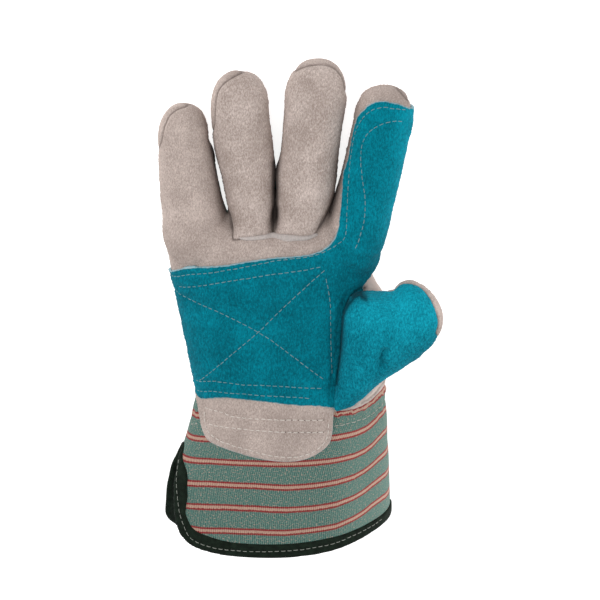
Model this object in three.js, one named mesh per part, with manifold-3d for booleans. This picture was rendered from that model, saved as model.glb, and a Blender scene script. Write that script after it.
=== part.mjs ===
// A right-hand rigger glove that lies on its back with the palm up.
// Millimetres. +X is the thumb side, +Y points to the fingertips, +Z is out of the palm.
// Every hollow form is a loft: a table row gives one cross-section of the hand, a finger or the cuff.

import * as THREE from 'three';
import { mergeVertices } from 'three/addons/utils/BufferGeometryUtils.js';
import Module from 'manifold-3d';

const wasm = await Module();
wasm.setup();

// Driving dimensions

const WALL = 1.6;                  // split leather and doubled cotton
const PATCH = 1.7;                 // the second layer of leather on palm and index finger
const GAP = 0.3;                   // air between pieces that are sewn together
const REACH = 200;                 // half-size of a cutting block, larger than the glove
const GLOVE_CENTRE = [0, -3.7];    // middle of the whole outline, which becomes the origin

const WRIST_Y = -64.5;             // seam between the hand and the cuff
const SEAM_Z = 13;                 // height of the side seam between palm side and back
const TIP_LEATHER = 30;            // length of the leather on the back of a fingertip
const WELT = 0.9;
const BINDING_WIDTH = 7.6;
const BINDING_TAPE = 1.0;

const HAND_SIDES = 24;
const FINGER_SIDES = 14;
const THUMB_SIDES = 16;
const CUFF_SIDES = 28;

// A section's width and height, with the height of its widest line on each side

const SECTION = ['y', 'left', 'right', 'top', 'bottom', 'leftZ', 'rightZ'];

const HAND = table(SECTION, [
  [-64.5, -59.6, 48.0, 42.5, -2.0, 16, 13],
  [-50.0, -59.0, 47.8, 41.5, -2.0, 15, 13],
  [-32.0, -61.0, 47.8, 40.5, -2.0, 14, 13],
  [-14.0, -64.4, 47.5, 39.5, -2.0, 14, 13],
  [0.0, -67.2, 46.4, 39.0, -2.0, 13, 13],
  [12.0, -69.8, 42.4, 38.5, -2.0, 13, 13],
  [22.0, -71.4, 43.6, 37.5, -2.0, 13, 13],
  [31.0, -72.8, 44.6, 36.0, -2.0, 13, 13],
  [38.0, -71.0, 44.0, 33.5, -1.5, 13, 13],
  [43.0, -64.0, 38.0, 29.5, 0.0, 13, 13],
  [46.0, -50.0, 26.0, 22.0, 5.0, 13, 13],
]);

const FINGERS = {
  little: {
    tip: { y: 108.2, x: -61.6, z: 18 },
    roll: -0.3,
    rows: table(SECTION, [
      [14, -64.0, -42.0, 28.0, 4.0, 13, 13],
      [30, -73.6, -36.5, 34.0, -2.0, 13, 13],
      [44, -74.6, -39.0, 32.0, -2.0, 13, 13],
      [56, -75.4, -42.4, 30.0, -1.0, 13, 13],
      [72, -75.9, -45.4, 29.5, 0.0, 14, 14],
      [88, -76.0, -48.4, 30.5, 2.0, 15, 15],
    ]),
  },
  ring: {
    tip: { y: 126.2, x: -31.9, z: 19 },
    roll: -0.3,
    rows: table(SECTION, [
      [14, -36.0, -16.0, 28.0, 4.0, 13, 13],
      [30, -39.6, -13.0, 34.5, -2.0, 13, 13],
      [44, -39.0, -14.0, 32.5, -1.5, 13, 13],
      [60, -41.2, -13.7, 30.5, -1.0, 13, 13],
      [76, -44.6, -13.4, 30.0, 0.0, 14, 14],
      [90, -46.5, -15.4, 30.5, 1.5, 15, 15],
      [104, -47.4, -16.4, 31.5, 3.5, 16, 16],
    ]),
  },
  middle: {
    tip: { y: 132.2, x: 9.5, z: 20 },
    roll: 0.25,
    rows: table(SECTION, [
      [14, -8.0, 12.0, 28.0, 4.0, 13, 13],
      [30, -12.7, 16.4, 34.5, -2.0, 13, 13],
      [46, -12.5, 17.4, 32.5, -1.5, 13, 13],
      [60, -12.0, 19.6, 31.0, -1.0, 13, 13],
      [76, -11.8, 20.4, 30.5, 0.0, 14, 14],
      [92, -10.2, 22.2, 31.0, 1.5, 15, 15],
      [110, -8.4, 24.6, 32.5, 4.0, 17, 17],
    ]),
  },
  index: {
    tip: { y: 118.8, x: 44.9, z: 20 },
    roll: 0.3,
    rows: table(SECTION, [
      [12, 14.0, 36.0, 28.0, 4.0, 13, 13],
      [28, 12.0, 44.2, 34.0, -2.0, 13, 13],
      [42, 15.6, 47.6, 32.0, -1.5, 13, 13],
      [56, 19.4, 50.6, 30.5, -1.0, 13, 13],
      [70, 22.2, 53.2, 30.0, 0.0, 14, 14],
      [84, 25.0, 56.0, 30.5, 1.0, 15, 15],
      [99, 27.8, 58.4, 31.5, 3.0, 16, 16],
    ]),
  },
};

// The thumb is lofted along its own axis, which leans away from the fingers

const THUMB_BASE = [30, -48];
const THUMB_LEAN = -45;                // degrees from the fingers' direction
const THUMB_SEAM_Z = 33;
const THUMB_RIM = table(['x', 'y'], [[40, 33], [56, 35], [66, 41], [76, 50], [76, 30], [40, 30]]);
const THUMB = {
  tip: { y: 69.4, x: -13.5, z: 37 },
  rows: table(SECTION, [
    [-15, -3.0, 3.6, 42.5, 30.0, 36, 34],
    [-8, -9.0, 8.0, 45.5, 22.0, 36, 30],
    [0, -14.5, 9.4, 48.0, 18.0, 36, 28],
    [10, -22.0, 9.6, 50.5, 16.0, 36, 28],
    [20, -30.0, 9.8, 52.0, 15.0, 36, 29],
    [30, -35.0, 10.8, 53.0, 15.0, 36, 30],
    [38, -33.5, 11.2, 53.0, 16.0, 35, 31],
    [46, -29.5, 10.8, 53.0, 18.0, 34, 32],
    [54, -26.4, 8.8, 52.0, 20.5, 34, 33],
  ]),
};

const CUFF = table(SECTION, [
  [-142.0, -79.6, 51.4, 58.6, -2.0, 28, 12],
  [-125.0, -79.0, 50.8, 58.0, -2.0, 28, 12],
  [-110.0, -78.0, 50.3, 56.5, -2.0, 28, 12],
  [-95.0, -74.2, 49.8, 54.0, -1.5, 26, 12],
  [-82.0, -66.0, 49.2, 50.5, -1.0, 23, 12],
  [-72.0, -61.2, 48.6, 46.0, -1.0, 20, 13],
  [-64.8, -59.6, 48.2, 42.5, -1.0, 18, 13],
]);

// Outlines seen from above. Each runs along the real edge of a piece.

const OUTLINE = ['x', 'y'];

const PATCH_EDGE = table(OUTLINE, [
  [-90, -54], [-90, 14], [-72, 17], [-60, 21.8], [-40, 24.1], [-26, 27], [-11, 29.1], [7, 30.4],
  [12.3, 33], [17.9, 37.2], [20.3, 42], [21.5, 50], [22, 60], [23.8, 86], [27.3, 103],
  [34, 111.6], [44.5, 114.6], [52.4, 113], [60, 108.5], [72, 104],
  [72, 22], [44, 15], [38, 10.5], [34, 9], [30, -20], [28, -50], [24, -57], [11, -55.9],
  [0, -55.5], [-33, -54.2], [-55.2, -57], [-58, -56],
]);

const FINGER_FRONTS = table(OUTLINE, [
  [-52, 150], [-52, 110], [-48.6, 98], [-47.3, 89], [-44.6, 73], [-41.5, 56], [-38, 48],
  [-36, 42], [-35.8, 37.4], [-31.5, 37.7], [-13.9, 39.4], [2.7, 38.7], [6.9, 39.1], [9.6, 41.7], [12.6, 47.7], [16.3, 54],
  [20, 63.8], [21.6, 76], [24, 92], [28, 150],
]);
const RING_MIDDLE_X = -13.4;

const WELT_EDGE = table(OUTLINE, [
  [-30.5, 38.2], [-13.9, 39.9], [2.7, 39.2], [7.4, 39.7], [9.4, 38.6], [4.8, 36.7],
  [-1.2, 35.8], [-7.5, 35.6], [-13.9, 37], [-27.8, 36.6],
]);

const VEIN_EDGE = table(OUTLINE, [
  [-55.2, -59.6], [-54.8, -67], [-53.2, -72.1], [-49, -76.6], [-41.6, -78.6],
  [-32.8, -80.2], [-16.3, -82], [-5.4, -81.5], [5.4, -79.8], [11, -78], [16.2, -75],
  [17.8, -71.6], [18.3, -65.6], [18, -59.6], [11, -58.6], [0, -58.2], [-33, -56.9],
]);

const WRIST_NOTCH = table(OUTLINE, [[-75, -46], [-75, -70], [-55.5, -70], [-56.5, -53], [-60, -48]]);

// The cuff's rim seen from above, and its slit seen from the little finger's side

const RIM = table(OUTLINE, [
  [-95, -136.4], [-58, -136.8], [-38, -137.6], [-17, -138.3], [0, -138.0], [20, -136.4],
  [34, -133.8], [44, -132.4], [60, -131.8],
]);
const SLIT_TOP_Y = -79;
const SLIT_REACH_X = -20;          // the slit's cut stays on the little finger's side of this
const SLIT = table(OUTLINE, [
  [-146, -12], [-140, 2], [-137, 8], [-133, 13], [-126, 16.5], [-116, 18], [-104, 19.5], [-92, 22.5],
  [-80, 28], [-80, 31], [-90, 37], [-102, 40.5], [-114, 42], [-124, 43.5], [-130, 46], [-134, 49.5],
  [-136.6, 54], [-138, 60], [-146, 70],
]);

// Tables and curves

function table(columns, rows) {
  return rows.map((row) => Object.fromEntries(columns.map((name, i) => [name, row[i]])));
}

// A finger's end: the last section shrinks towards the tip as a blunt ellipse does

function roundedEnd({ rows, tip }) {
  const last = rows[rows.length - 1];
  const bluntness = 2.3;
  const stops = [0.4, 0.68, 0.88, 0.98];
  const mix = THREE.MathUtils.lerp;
  return stops.map((t) => {
    const size = Math.pow(1 - Math.pow(t, bluntness), 1 / bluntness);
    const x = mix((last.left + last.right) / 2, tip.x, t);
    const half = (last.right - last.left) / 2;
    return {
      y: mix(last.y, tip.y, t),
      left: x - half * size,
      right: x + half * size,
      top: mix(tip.z, last.top, size),
      bottom: mix(tip.z, last.bottom, size),
      leftZ: mix(last.leftZ, tip.z, t),
      rightZ: mix(last.rightZ, tip.z, t),
    };
  });
}

// One cross-section, an oval that is a little squarer than an ellipse when fullness is under 1

function sectionRing(row, grow, sides, fullness) {
  const left = row.left - grow;
  const right = row.right + grow;
  const power = (value) => Math.sign(value) * Math.pow(Math.abs(value), fullness);
  return Array.from({ length: sides }, (_, i) => {
    const angle = (2 * Math.PI * i) / sides;
    const across = power(Math.cos(angle));
    const rise = power(Math.sin(angle));
    const x = THREE.MathUtils.lerp(left, right, (1 + across) / 2);
    const sideZ = THREE.MathUtils.lerp(row.leftZ, row.rightZ, (1 + across) / 2);
    const reach = rise > 0 ? row.top + grow - sideZ : sideZ - row.bottom + grow;
    return new THREE.Vector3(x, row.y, sideZ + rise * reach);
  });
}

// A closed skin through the sections, from the lowest y to the highest

function loft(rows, { grow = 0, sides, fullness = 0.88, tip }) {
  const rings = rows.map((row) => sectionRing(row, grow, sides, fullness));
  const centre = (ring) => ring.reduce((sum, p) => sum.add(p), new THREE.Vector3()).divideScalar(sides);
  const end = tip ? new THREE.Vector3(tip.x, tip.y + grow, tip.z) : centre(rings[rings.length - 1]);
  const points = [...rings.flat(), centre(rings[0]), end];
  const startCentre = points.length - 2;
  const endCentre = points.length - 1;
  const lastRing = (rings.length - 1) * sides;
  const faces = [];
  for (let i = 0; i < sides; i++) {
    const next = (i + 1) % sides;
    faces.push(startCentre, i, next);
    for (let a = i, b = next; a < lastRing; a += sides, b += sides) {
      faces.push(a, a + sides, b, b, a + sides, b + sides);
    }
    faces.push(endCentre, lastRing + next, lastRing + i);
  }
  const geometry = new THREE.BufferGeometry();
  geometry.setAttribute('position', new THREE.Float32BufferAttribute(points.flatMap((p) => p.toArray()), 3));
  geometry.setIndex(faces);
  return geometry;
}

// Solids

function solid(geometry) {
  const bare = geometry.clone();
  bare.deleteAttribute('normal');
  bare.deleteAttribute('uv');
  const merged = mergeVertices(bare, 1e-4);
  return new wasm.Manifold(new wasm.Mesh({
    numProp: 3,
    vertProperties: Float32Array.from(merged.attributes.position.array),
    triVerts: Uint32Array.from(merged.index.array),
  }));
}

function prism(outline, bottom = -REACH, top = REACH) {
  const shape = new THREE.Shape(outline.map(({ x, y }) => new THREE.Vector2(x, y)));
  const geometry = new THREE.ExtrudeGeometry(shape, { depth: top - bottom, bevelEnabled: false });
  return solid(geometry.translate(0, 0, bottom));
}

// A side view's outline, which holds y and z as its x and y, extruded along x

function sideways(outline, from, to) {
  const [along, up, across] = [new THREE.Vector3(0, 1, 0), new THREE.Vector3(0, 0, 1), new THREE.Vector3(1, 0, 0)];
  const shape = new THREE.Shape(outline.map(({ x, y }) => new THREE.Vector2(x, y)));
  const geometry = new THREE.ExtrudeGeometry(shape, { depth: to - from, bevelEnabled: false });
  geometry.applyMatrix4(new THREE.Matrix4().makeBasis(along, up, across));
  return geometry.translate(from, 0, 0);
}

function block(min, max) {
  const size = max.map((value, i) => value - min[i]);
  const geometry = new THREE.BoxGeometry(...size);
  return solid(geometry.translate(...min.map((value, i) => value + size[i] / 2)));
}

const above = (z) => block([-REACH, -REACH, z], [REACH, REACH, REACH]);
const below = (z) => block([-REACH, -REACH, -REACH], [REACH, REACH, z]);
const union = (solids) => solids.reduce((sum, next) => sum.add(next));

// Moves an open outline to its left as one walks along it

function shifted(outline, distance) {
  return outline.map((point, i) => {
    const before = outline[Math.max(i - 1, 0)];
    const after = outline[Math.min(i + 1, outline.length - 1)];
    const along = new THREE.Vector2(after.x - before.x, after.y - before.y).normalize();
    return { x: point.x - along.y * distance, y: point.y + along.x * distance };
  });
}

// Widens a closed outline that runs anticlockwise

function widened(outline, distance) {
  const round = [outline[outline.length - 1], ...outline, outline[0]];
  return shifted(round, -distance).slice(1, -1);
}

// The hand, the thumb and the cuff as full forms, grown or shrunk by a skin's thickness

function fingerForm(finger, grow) {
  const rows = [...finger.rows, ...roundedEnd(finger)];
  return solid(loft(rows, { grow, sides: FINGER_SIDES, tip: finger.tip }));
}

function handForm(grow, wristY = WRIST_Y) {
  const rows = HAND.map((row, i) => (i === 0 ? { ...row, y: wristY } : row));
  const hand = solid(loft(rows, { grow, sides: HAND_SIDES }));
  return union([hand, ...Object.values(FINGERS).map((finger) => fingerForm(finger, grow))]);
}

function thumbForm(grow) {
  const rows = [...THUMB.rows, ...roundedEnd(THUMB)];
  return placedThumb(solid(loft(rows, { grow, sides: THUMB_SIDES, tip: THUMB.tip })));
}

function placedThumb(form) {
  return form.rotate([0, 0, THUMB_LEAN]).translate([...THUMB_BASE, 0]);
}

function cuffForm(grow, wristY = WRIST_Y - GAP) {
  const rows = CUFF.map((row, i) => (i === CUFF.length - 1 ? { ...row, y: wristY } : row));
  return solid(loft(rows, { grow, sides: CUFF_SIDES, fullness: 1 }));
}

function skin(form, inner, floor, wall) {
  return form.intersect(above(floor)).subtract(inner.intersect(above(floor + wall)));
}

// The side seam parts the palm side from the back, and climbs over each fingertip

const RIM_LENGTH = 30;
const RIM_RISE = table(OUTLINE, [[0, 0], [16, 2.5], [26, 9.6], [34, 13]]);

function fingertipSpan({ rows }) {
  const { left, right } = rows[rows.length - 1];
  return [left - 1, right + 0.7];
}

function fingertipRim(finger, gap) {
  const start = finger.tip.y - RIM_LENGTH;
  const foot = SEAM_Z - 1;
  const climb = RIM_RISE.map(({ x, y }) => ({ x: start + x, y: SEAM_Z - gap + y }));
  const end = climb[climb.length - 1].x;
  const geometry = sideways([...climb, { x: end, y: foot }, { x: start, y: foot }], ...fingertipSpan(finger));
  const position = geometry.attributes.position;
  for (let i = 0; i < position.count; i++) {
    if (position.getZ(i) <= foot) continue;
    const share = THREE.MathUtils.clamp((position.getY(i) - start) / RIM_LENGTH, 0, 1);
    const lean = share * finger.roll * (position.getX(i) - finger.tip.x);
    position.setZ(i, position.getZ(i) + lean);
  }
  return solid(geometry);
}

const rims = (gap) => union(Object.values(FINGERS).map((finger) => fingertipRim(finger, gap)));
const notch = (grow) => prism(widened(WRIST_NOTCH, grow), SEAM_Z - 1, REACH);
const palmSide = above(SEAM_Z).subtract(rims(0)).subtract(notch(0));
const backSide = below(SEAM_Z - GAP).add(rims(GAP)).add(notch(-GAP));

function thumbBackSide(gap) {
  const rim = sideways(THUMB_RIM.map(({ x, y }) => ({ x, y: y - gap })), -REACH, REACH);
  return placedThumb(below(THUMB_SEAM_Z - gap).add(solid(rim)));
}

// The pieces

function handPieces() {
  const hollow = handForm(-WALL, WRIST_Y - 5);
  const shell = skin(handForm(0), hollow, 0, WALL).subtract(thumbForm(-WALL));
  const palm = shell.intersect(palmSide);
  const back = shell.intersect(backSide);
  const fronts = palm.intersect(prism(FINGER_FRONTS));
  const pieces = {
    palm_leather: palm.subtract(prism(widened(FINGER_FRONTS, GAP))),
    ring_finger_front: fronts.subtract(block([RING_MIDDLE_X, 0, 0], [REACH, REACH, REACH])),
    middle_finger_front: fronts.subtract(block([-REACH, 0, 0], [RING_MIDDLE_X + GAP, REACH, REACH])),
  };
  let fabric = back;
  for (const [name, finger] of Object.entries(FINGERS)) {
    const [left, right] = fingertipSpan(finger);
    const { y } = finger.tip;
    const capBlock = (gap) => block([left, y - TIP_LEATHER - gap, -1], [right, y + 5, REACH]);
    pieces[`${name}_fingertip_back`] = back.intersect(capBlock(0));
    fabric = fabric.subtract(capBlock(GAP));
  }
  return { ...pieces, back_fabric: fabric };
}

function thumbPieces() {
  const shell = thumbForm(0).subtract(thumbForm(-WALL)).subtract(handForm(GAP, WRIST_Y - 5));
  return {
    thumb_front: shell.subtract(thumbBackSide(0)),
    thumb_back: shell.intersect(thumbBackSide(GAP)),
  };
}

function layer(form, outline, thickness) {
  return form(GAP + thickness).subtract(form(GAP)).intersect(prism(outline)).subtract(thumbForm(GAP));
}

function patches() {
  const palm = (grow) => handForm(grow);
  const palmAndCuff = (grow) => handForm(grow, WRIST_Y - 1).add(cuffForm(grow, WRIST_Y + 1));
  return {
    palm_patch: layer(palm, PATCH_EDGE, PATCH).intersect(palmSide),
    finger_base_welt: layer(palm, WELT_EDGE, WELT).intersect(above(SEAM_Z)),
    vein_patch: layer(palmAndCuff, VEIN_EDGE, WALL).intersect(above(SEAM_Z)),
  };
}

// Cuts the cuff along its rim and opens its slit, both moved inwards by a distance

function trimmed(form, inset) {
  const rim = [...shifted(RIM, inset), { x: 60, y: -REACH }, { x: -95, y: -REACH }];
  const slit = sideways(shifted(SLIT, -inset), -REACH, SLIT_REACH_X);
  return form.subtract(prism(rim)).subtract(solid(slit));
}

function cuffPieces() {
  const tape = GAP + BINDING_TAPE;
  const layerAt = (grow) => skin(cuffForm(grow), cuffForm(-WALL - grow, WRIST_Y + 5), tape - grow, WALL + 2 * grow);
  const belowSlitTop = block([-REACH, -REACH, -REACH], [REACH, SLIT_TOP_Y, REACH]);
  const folded = trimmed(layerAt(tape), -tape).intersect(belowSlitTop);
  const band = folded.subtract(trimmed(layerAt(tape + 1), BINDING_WIDTH));
  return {
    cuff: trimmed(layerAt(0), 0),
    cuff_binding: band.subtract(trimmed(layerAt(GAP), -GAP)),
  };
}

// Finishes, one per material of the real glove

const FINISH = {
  greyLeather: { color: '#b5a59d', roughness: 0.95 },
  tealLeather: { color: '#0a7080', roughness: 0.95 },
  cotton: { color: '#61776d', roughness: 0.9 },
  tape: { color: '#1b261d', roughness: 0.85 },
};

const FINISH_OF = {
  palm_patch: 'tealLeather',
  thumb_front: 'tealLeather',
  back_fabric: 'cotton',
  cuff: 'cotton',
  cuff_binding: 'tape',
};

function mesh(name, form) {
  const { numProp, vertProperties, triVerts } = form.getMesh();
  const geometry = new THREE.BufferGeometry();
  geometry.setAttribute('position', new THREE.BufferAttribute(vertProperties, numProp));
  geometry.setIndex(new THREE.BufferAttribute(triVerts, 1));
  const material = new THREE.MeshStandardMaterial({ ...FINISH[FINISH_OF[name] ?? 'greyLeather'], metalness: 0 });
  const piece = new THREE.Mesh(geometry, material);
  piece.name = name;
  return piece;
}

const glove = new THREE.Group();
const pieces = { ...handPieces(), ...thumbPieces(), ...patches(), ...cuffPieces() };
for (const [name, form] of Object.entries(pieces)) glove.add(mesh(name, form));
glove.position.set(-GLOVE_CENTRE[0], -GLOVE_CENTRE[1], 0);

export default glove;
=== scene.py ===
import math

import bpy
import numpy as np
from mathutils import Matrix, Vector, noise
from mathutils.bvhtree import BVHTree
from mathutils.kdtree import KDTree


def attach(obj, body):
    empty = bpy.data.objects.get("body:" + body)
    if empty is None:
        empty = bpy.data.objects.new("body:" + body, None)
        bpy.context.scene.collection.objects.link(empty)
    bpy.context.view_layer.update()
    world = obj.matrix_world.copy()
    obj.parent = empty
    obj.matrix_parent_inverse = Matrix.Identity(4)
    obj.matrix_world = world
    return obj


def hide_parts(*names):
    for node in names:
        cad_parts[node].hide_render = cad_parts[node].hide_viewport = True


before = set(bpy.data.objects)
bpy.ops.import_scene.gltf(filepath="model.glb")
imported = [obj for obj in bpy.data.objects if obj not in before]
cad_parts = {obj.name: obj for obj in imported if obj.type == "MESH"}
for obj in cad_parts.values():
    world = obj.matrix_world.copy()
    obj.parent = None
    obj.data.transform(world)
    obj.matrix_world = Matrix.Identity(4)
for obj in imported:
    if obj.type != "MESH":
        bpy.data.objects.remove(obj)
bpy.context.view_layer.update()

# A right-hand rigger glove, palm up. All tables are in millimetres in the maker's own frame:
# +X is the thumb side, +Y points to the fingertips, +Z is out of the palm.

FRAME_SHIFT = np.array([0.0, 3.7, 0.0])   # from the maker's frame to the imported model's
WALL = 1.6                                # split leather and doubled cotton
PATCH = 1.9                               # thickness of the second layer on palm and index finger
WRIST_Y = -64.5                           # where the back is sewn to the cuff
SEAM_Z = 13.0                             # height of the seam between palm side and back
SEAM_ROUNDING = 1.2                       # how softly that seam turns over a finger's tip
TIP_LEATHER = 34.5                        # how far the leather reaches down the back of a fingertip
TAPE = 1.0                                # thickness of the binding tape
FOLD = 1.1                                # how far the folded tape stands past the cloth
VEIN = 1.3                                # thickness of the tongue below the palm
TUCK = 3.0                                # how far the hand and the thumb run into each other
STRIPE_Y = -85.5                          # middle of one stripe, and the step to the next
STRIPE_PITCH = 13.0
GRAIN = 0.9                               # size of one facet of the leather surfaces
FULLNESS = 0.88                           # sections of the hand are a little squarer than an ellipse
BLUNTNESS = 2.3                           # fingertips are a little blunter than an ellipse
CUT_EDGE = 0.9                            # radius of the leather's and the tape's cut edges
FINE_NAP = 1.7                            # size of the hills in the nap
ROOTS_Y = 38.0                            # where the fingers begin to part
STITCH_PITCH = 3.5                        # from one stitch to the next
rng = np.random.default_rng(11)

# y, left, right, top, bottom, height of the widest line on the left and on the right

HAND = [
    (-74, -58.2, 48.2, 43, -2, 16, 13),
    (-64.5, -57, 48, 42.5, -2, 16, 13),
    (-57, -56.7, 47.9, 42, -2, 16, 13),
    (-50, -57.6, 47.8, 41.5, -2, 15, 13),
    (-32, -60.2, 47.8, 40.5, -2, 14, 13),
    (-14, -63.6, 47, 39.5, -2, 14, 13),
    (0, -66.4, 45.8, 39, -2, 13, 13),
    (6, -67.8, 42, 38.8, -2, 13, 13),
    (12, -69.7, 39.2, 38.5, -2, 13, 13),
    (22, -71.7, 41.9, 37.5, -2, 13, 13),
    (31, -73.3, 44, 36, -2, 13, 13),
    (38, -71, 44, 33.5, -1.5, 13, 13),
    (43, -64, 38, 29.5, 0, 13, 13),
    (46, -50, 26, 22, 5, 13, 13),
]

FINGERS = {
    "little": {
        "tip": (-61.6, 108.2, 18),
        "spread": -4.6,
        "front": [
            (-79, 50), (-78, 76), (-75.8, 83.3), (-73.6, 90.3), (-72, 97.6), (-69.1, 103.2), (-65.1, 106.6),
            (-60.6, 107.8), (-57.4, 108.2), (-53.5, 107.8), (-49, 105), (-45, 99), (-41, 88), (-38, 50),
        ],
        "rows": [
            (14, -64, -42, 28, 4, 13, 13),
            (30, -73.6, -36.5, 34, -2, 13, 13),
            (44, -74.6, -39, 32, -2, 13, 13),
            (56, -75.4, -42.4, 30, -1, 13, 13),
            (72, -75.9, -45.1, 29.5, 0, 14, 14),
            (80, -76, -46, 30, 1, 14, 14),
            (88, -76, -48.9, 30.5, 2, 15, 15),
        ],
    },
    "ring": {
        "tip": (-31.9, 126.2, 19),
        "spread": -1.9,
        "front": [
            (-52, 50), (-49, 86), (-46.6, 93.9), (-45.4, 100.4), (-44.4, 112.3), (-42.1, 118.4),
            (-38.5, 122.4), (-33.5, 125), (-29.5, 126.2), (-24.5, 126.4), (-19, 124), (-14, 118),
            (-10, 108), (-8, 50),
        ],
        "rows": [
            (14, -36, -17, 28, 4, 13, 13),
            (30, -39.6, -14, 34.5, -2, 13, 13),
            (44, -38.5, -12.6, 32.5, -1.5, 13, 13),
            (52, -39.7, -12.2, 31.4, -1.2, 13, 13),
            (60, -41, -12.3, 30.5, -1, 13, 13),
            (70, -43, -12.7, 30.1, -0.4, 13, 13),
            (76, -44.5, -13.3, 30, 0, 14, 14),
            (83, -45.9, -14.1, 30.2, 0.8, 14, 14),
            (90, -46.7, -15, 30.5, 1.5, 15, 15),
            (104, -47.4, -16.4, 31.5, 3.5, 16, 16),
        ],
    },
    "middle": {
        "tip": (9.5, 132.9, 20),
        "spread": 1.8,
        "front": [
            (-18, 50), (-16, 105), (-12, 117), (-7, 124), (-2.1, 127.4), (1.6, 129.7), (6.6, 131.1),
            (11.6, 131.4), (16.6, 130), (20.1, 127.1), (22.7, 122.8), (24, 117.5), (26.5, 108), (30, 98),
            (30, 50),
        ],
        "rows": [
            (14, -8, 12, 28, 4, 13, 13),
            (30, -12.4, 13.6, 34.5, -2, 13, 13),
            (44, -14, 14.9, 33, -1.5, 13, 13),
            (52, -14.4, 17.5, 32, -1.2, 13, 13),
            (62, -14, 19.7, 31, -1, 13, 13),
            (70, -13.4, 20.2, 30.7, -0.5, 13, 13),
            (77, -11.3, 20.5, 30.5, 0, 14, 14),
            (92, -9.3, 22.2, 31, 1.5, 15, 15),
            (110, -8.2, 24.6, 32.5, 4, 17, 17),
        ],
    },
    "index": {
        "tip": (45.2, 118.3, 20),
        "spread": 4.6,
        "bluntness": 2.6,
        "front": [
            (12, 50), (20, 100), (26, 111), (33, 117), (40, 120), (46, 119.6), (51.1, 117.6), (54, 115.1),
            (56.8, 111.6), (59.8, 108.8), (64, 105), (68, 98), (68, 50),
        ],
        "rows": [
            (12, 14, 36, 28, 4, 13, 13),
            (28, 10.5, 43, 34, -2, 13, 13),
            (42, 14, 46.3, 32.5, -1.5, 13, 13),
            (52, 17.1, 48.5, 31.2, -1.2, 13, 13),
            (60, 19.6, 50.2, 30.5, -1, 13, 13),
            (70, 22.3, 52.3, 30, 0, 14, 14),
            (84, 25.3, 54.9, 30.5, 1, 15, 15),
            (99, 28.5, 58.2, 31.5, 3, 16, 16),
        ],
    },
}

# The thumb leans away from the fingers, and its table runs along its own axis

THUMB_BASE = (30, -48)
THUMB_LEAN = math.radians(-45)
THUMB_SEAM_Z = 33.0
# How far the thumb's seam climbs above that height, by the place along and across it added up, and the
# most that it climbs, by the place along it
THUMB_RIM = [
    (26, -2), (34.5, 1.4), (38.4, 3.1), (41.9, 4.6), (48.2, 5.4), (51.5, 6.1), (53.9, 8), (56.2, 8.8),
    (58.8, 11), (60.7, 12.4), (64, 13.2),
]
THUMB_RIM_ENDS = [(44, -9), (50, -7), (56, 11.5), (57, 20)]
THUMB = {
    "tip": (-11.8, 68.2, 36),
    "rows": [
        (-15, -3, 2.6, 42.5, 30, 36, 34),
        (-8, -9, 6, 45.5, 22, 36, 30),
        (0, -14.5, 7.2, 48, 18, 36, 28),
        (10, -22, 7.2, 50.5, 16, 37, 28),
        (20, -31, 8.5, 52, 15, 38, 29),
        (27, -36.6, 9.9, 52.6, 15, 39, 30),
        (33, -39.6, 10.7, 53, 15, 39, 30),
        (38, -40.2, 11.5, 53, 16, 38, 31),
        (42, -37.6, 11.4, 53, 17, 37, 31),
        (46, -32.4, 11.1, 53, 18, 36, 32),
        (50, -28.4, 10.5, 52.4, 19, 35, 33),
        (54, -25.2, 9.4, 51.4, 20.5, 34, 33),
    ],
}

CUFF = [
    (-148, -83.6, 51.9, 58.7, -2, 28, 12),
    (-142, -82.8, 51.8, 58.6, -2, 28, 12),
    (-134, -81.6, 51.6, 58.4, -2, 28, 12),
    (-125, -79.4, 51.4, 58, -2, 28, 12),
    (-110, -77.2, 50.9, 56.5, -2, 28, 12),
    (-100, -74.6, 50.5, 55, -1.7, 27, 12),
    (-94, -70.8, 50.1, 53.8, -1.5, 26, 12),
    (-88, -66.2, 49.4, 52.4, -1.2, 24, 12),
    (-82, -63.9, 49.2, 50.5, -1, 23, 12),
    (-72, -61, 48.6, 46, -1, 20, 13),
    (-63, -58.9, 47.6, 42, -1, 17, 13),
    (-52, -57.6, 47.2, 40.8, -1, 15, 13),
]

# Outlines of the pieces seen from above

PATCH_EDGE = [
    (-90, -54), (-90, 11), (-72, 14.5), (-69.8, 16.2), (-65, 19), (-60.5, 20.8), (-54, 22.1), (-40, 24.1),
    (-26, 27), (-11, 28.9), (0, 29.6), (9, 31), (15.1, 34), (18.4, 38), (20.2, 44), (21, 51.5),
    (21.7, 59), (22.2, 66.3), (22.9, 73.2), (24, 78), (25.1, 83), (26.2, 90), (27.9, 98), (29.4, 102.7),
    (32.2, 106.9), (35.3, 110.3), (39, 112.3), (43.5, 113.1), (47.9, 112.4), (52.5, 111.1), (56.5, 109),
    (60, 107), (72, 102), (72, 25), (46, 18.5), (41.5, 15), (38.7, 12.4), (36.9, 11), (35.3, 8.9),
    (34.9, 5), (33, 0), (30, -20), (28, -50), (24, -58), (18.1, -57.2), (10.9, -55.6), (0, -54.8),
    (-10.9, -53.8), (-19.1, -53), (-27.3, -52.5), (-39.5, -52.5), (-46, -53.8), (-52.4, -56),
    (-55.2, -57.4), (-58, -57),
]
# How far the tape reaches onto the cuff: at heights y along the slit, and at x along the rim
BINDING_LEFT = [
    (-131, 9), (-127, 8.6), (-123, 7.9), (-118, 6.8), (-113, 7.8), (-108, 8.6), (-104, 8.3), (-98.8, 8.2),
    (-94.4, 6.2), (-92, 4.3), (-89.6, 2.6), (-87, 1.3), (-84.5, 0.4),
]
BINDING_RIGHT = [(15, 7.5), (30, 6.6), (46, 5.6)]
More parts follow.
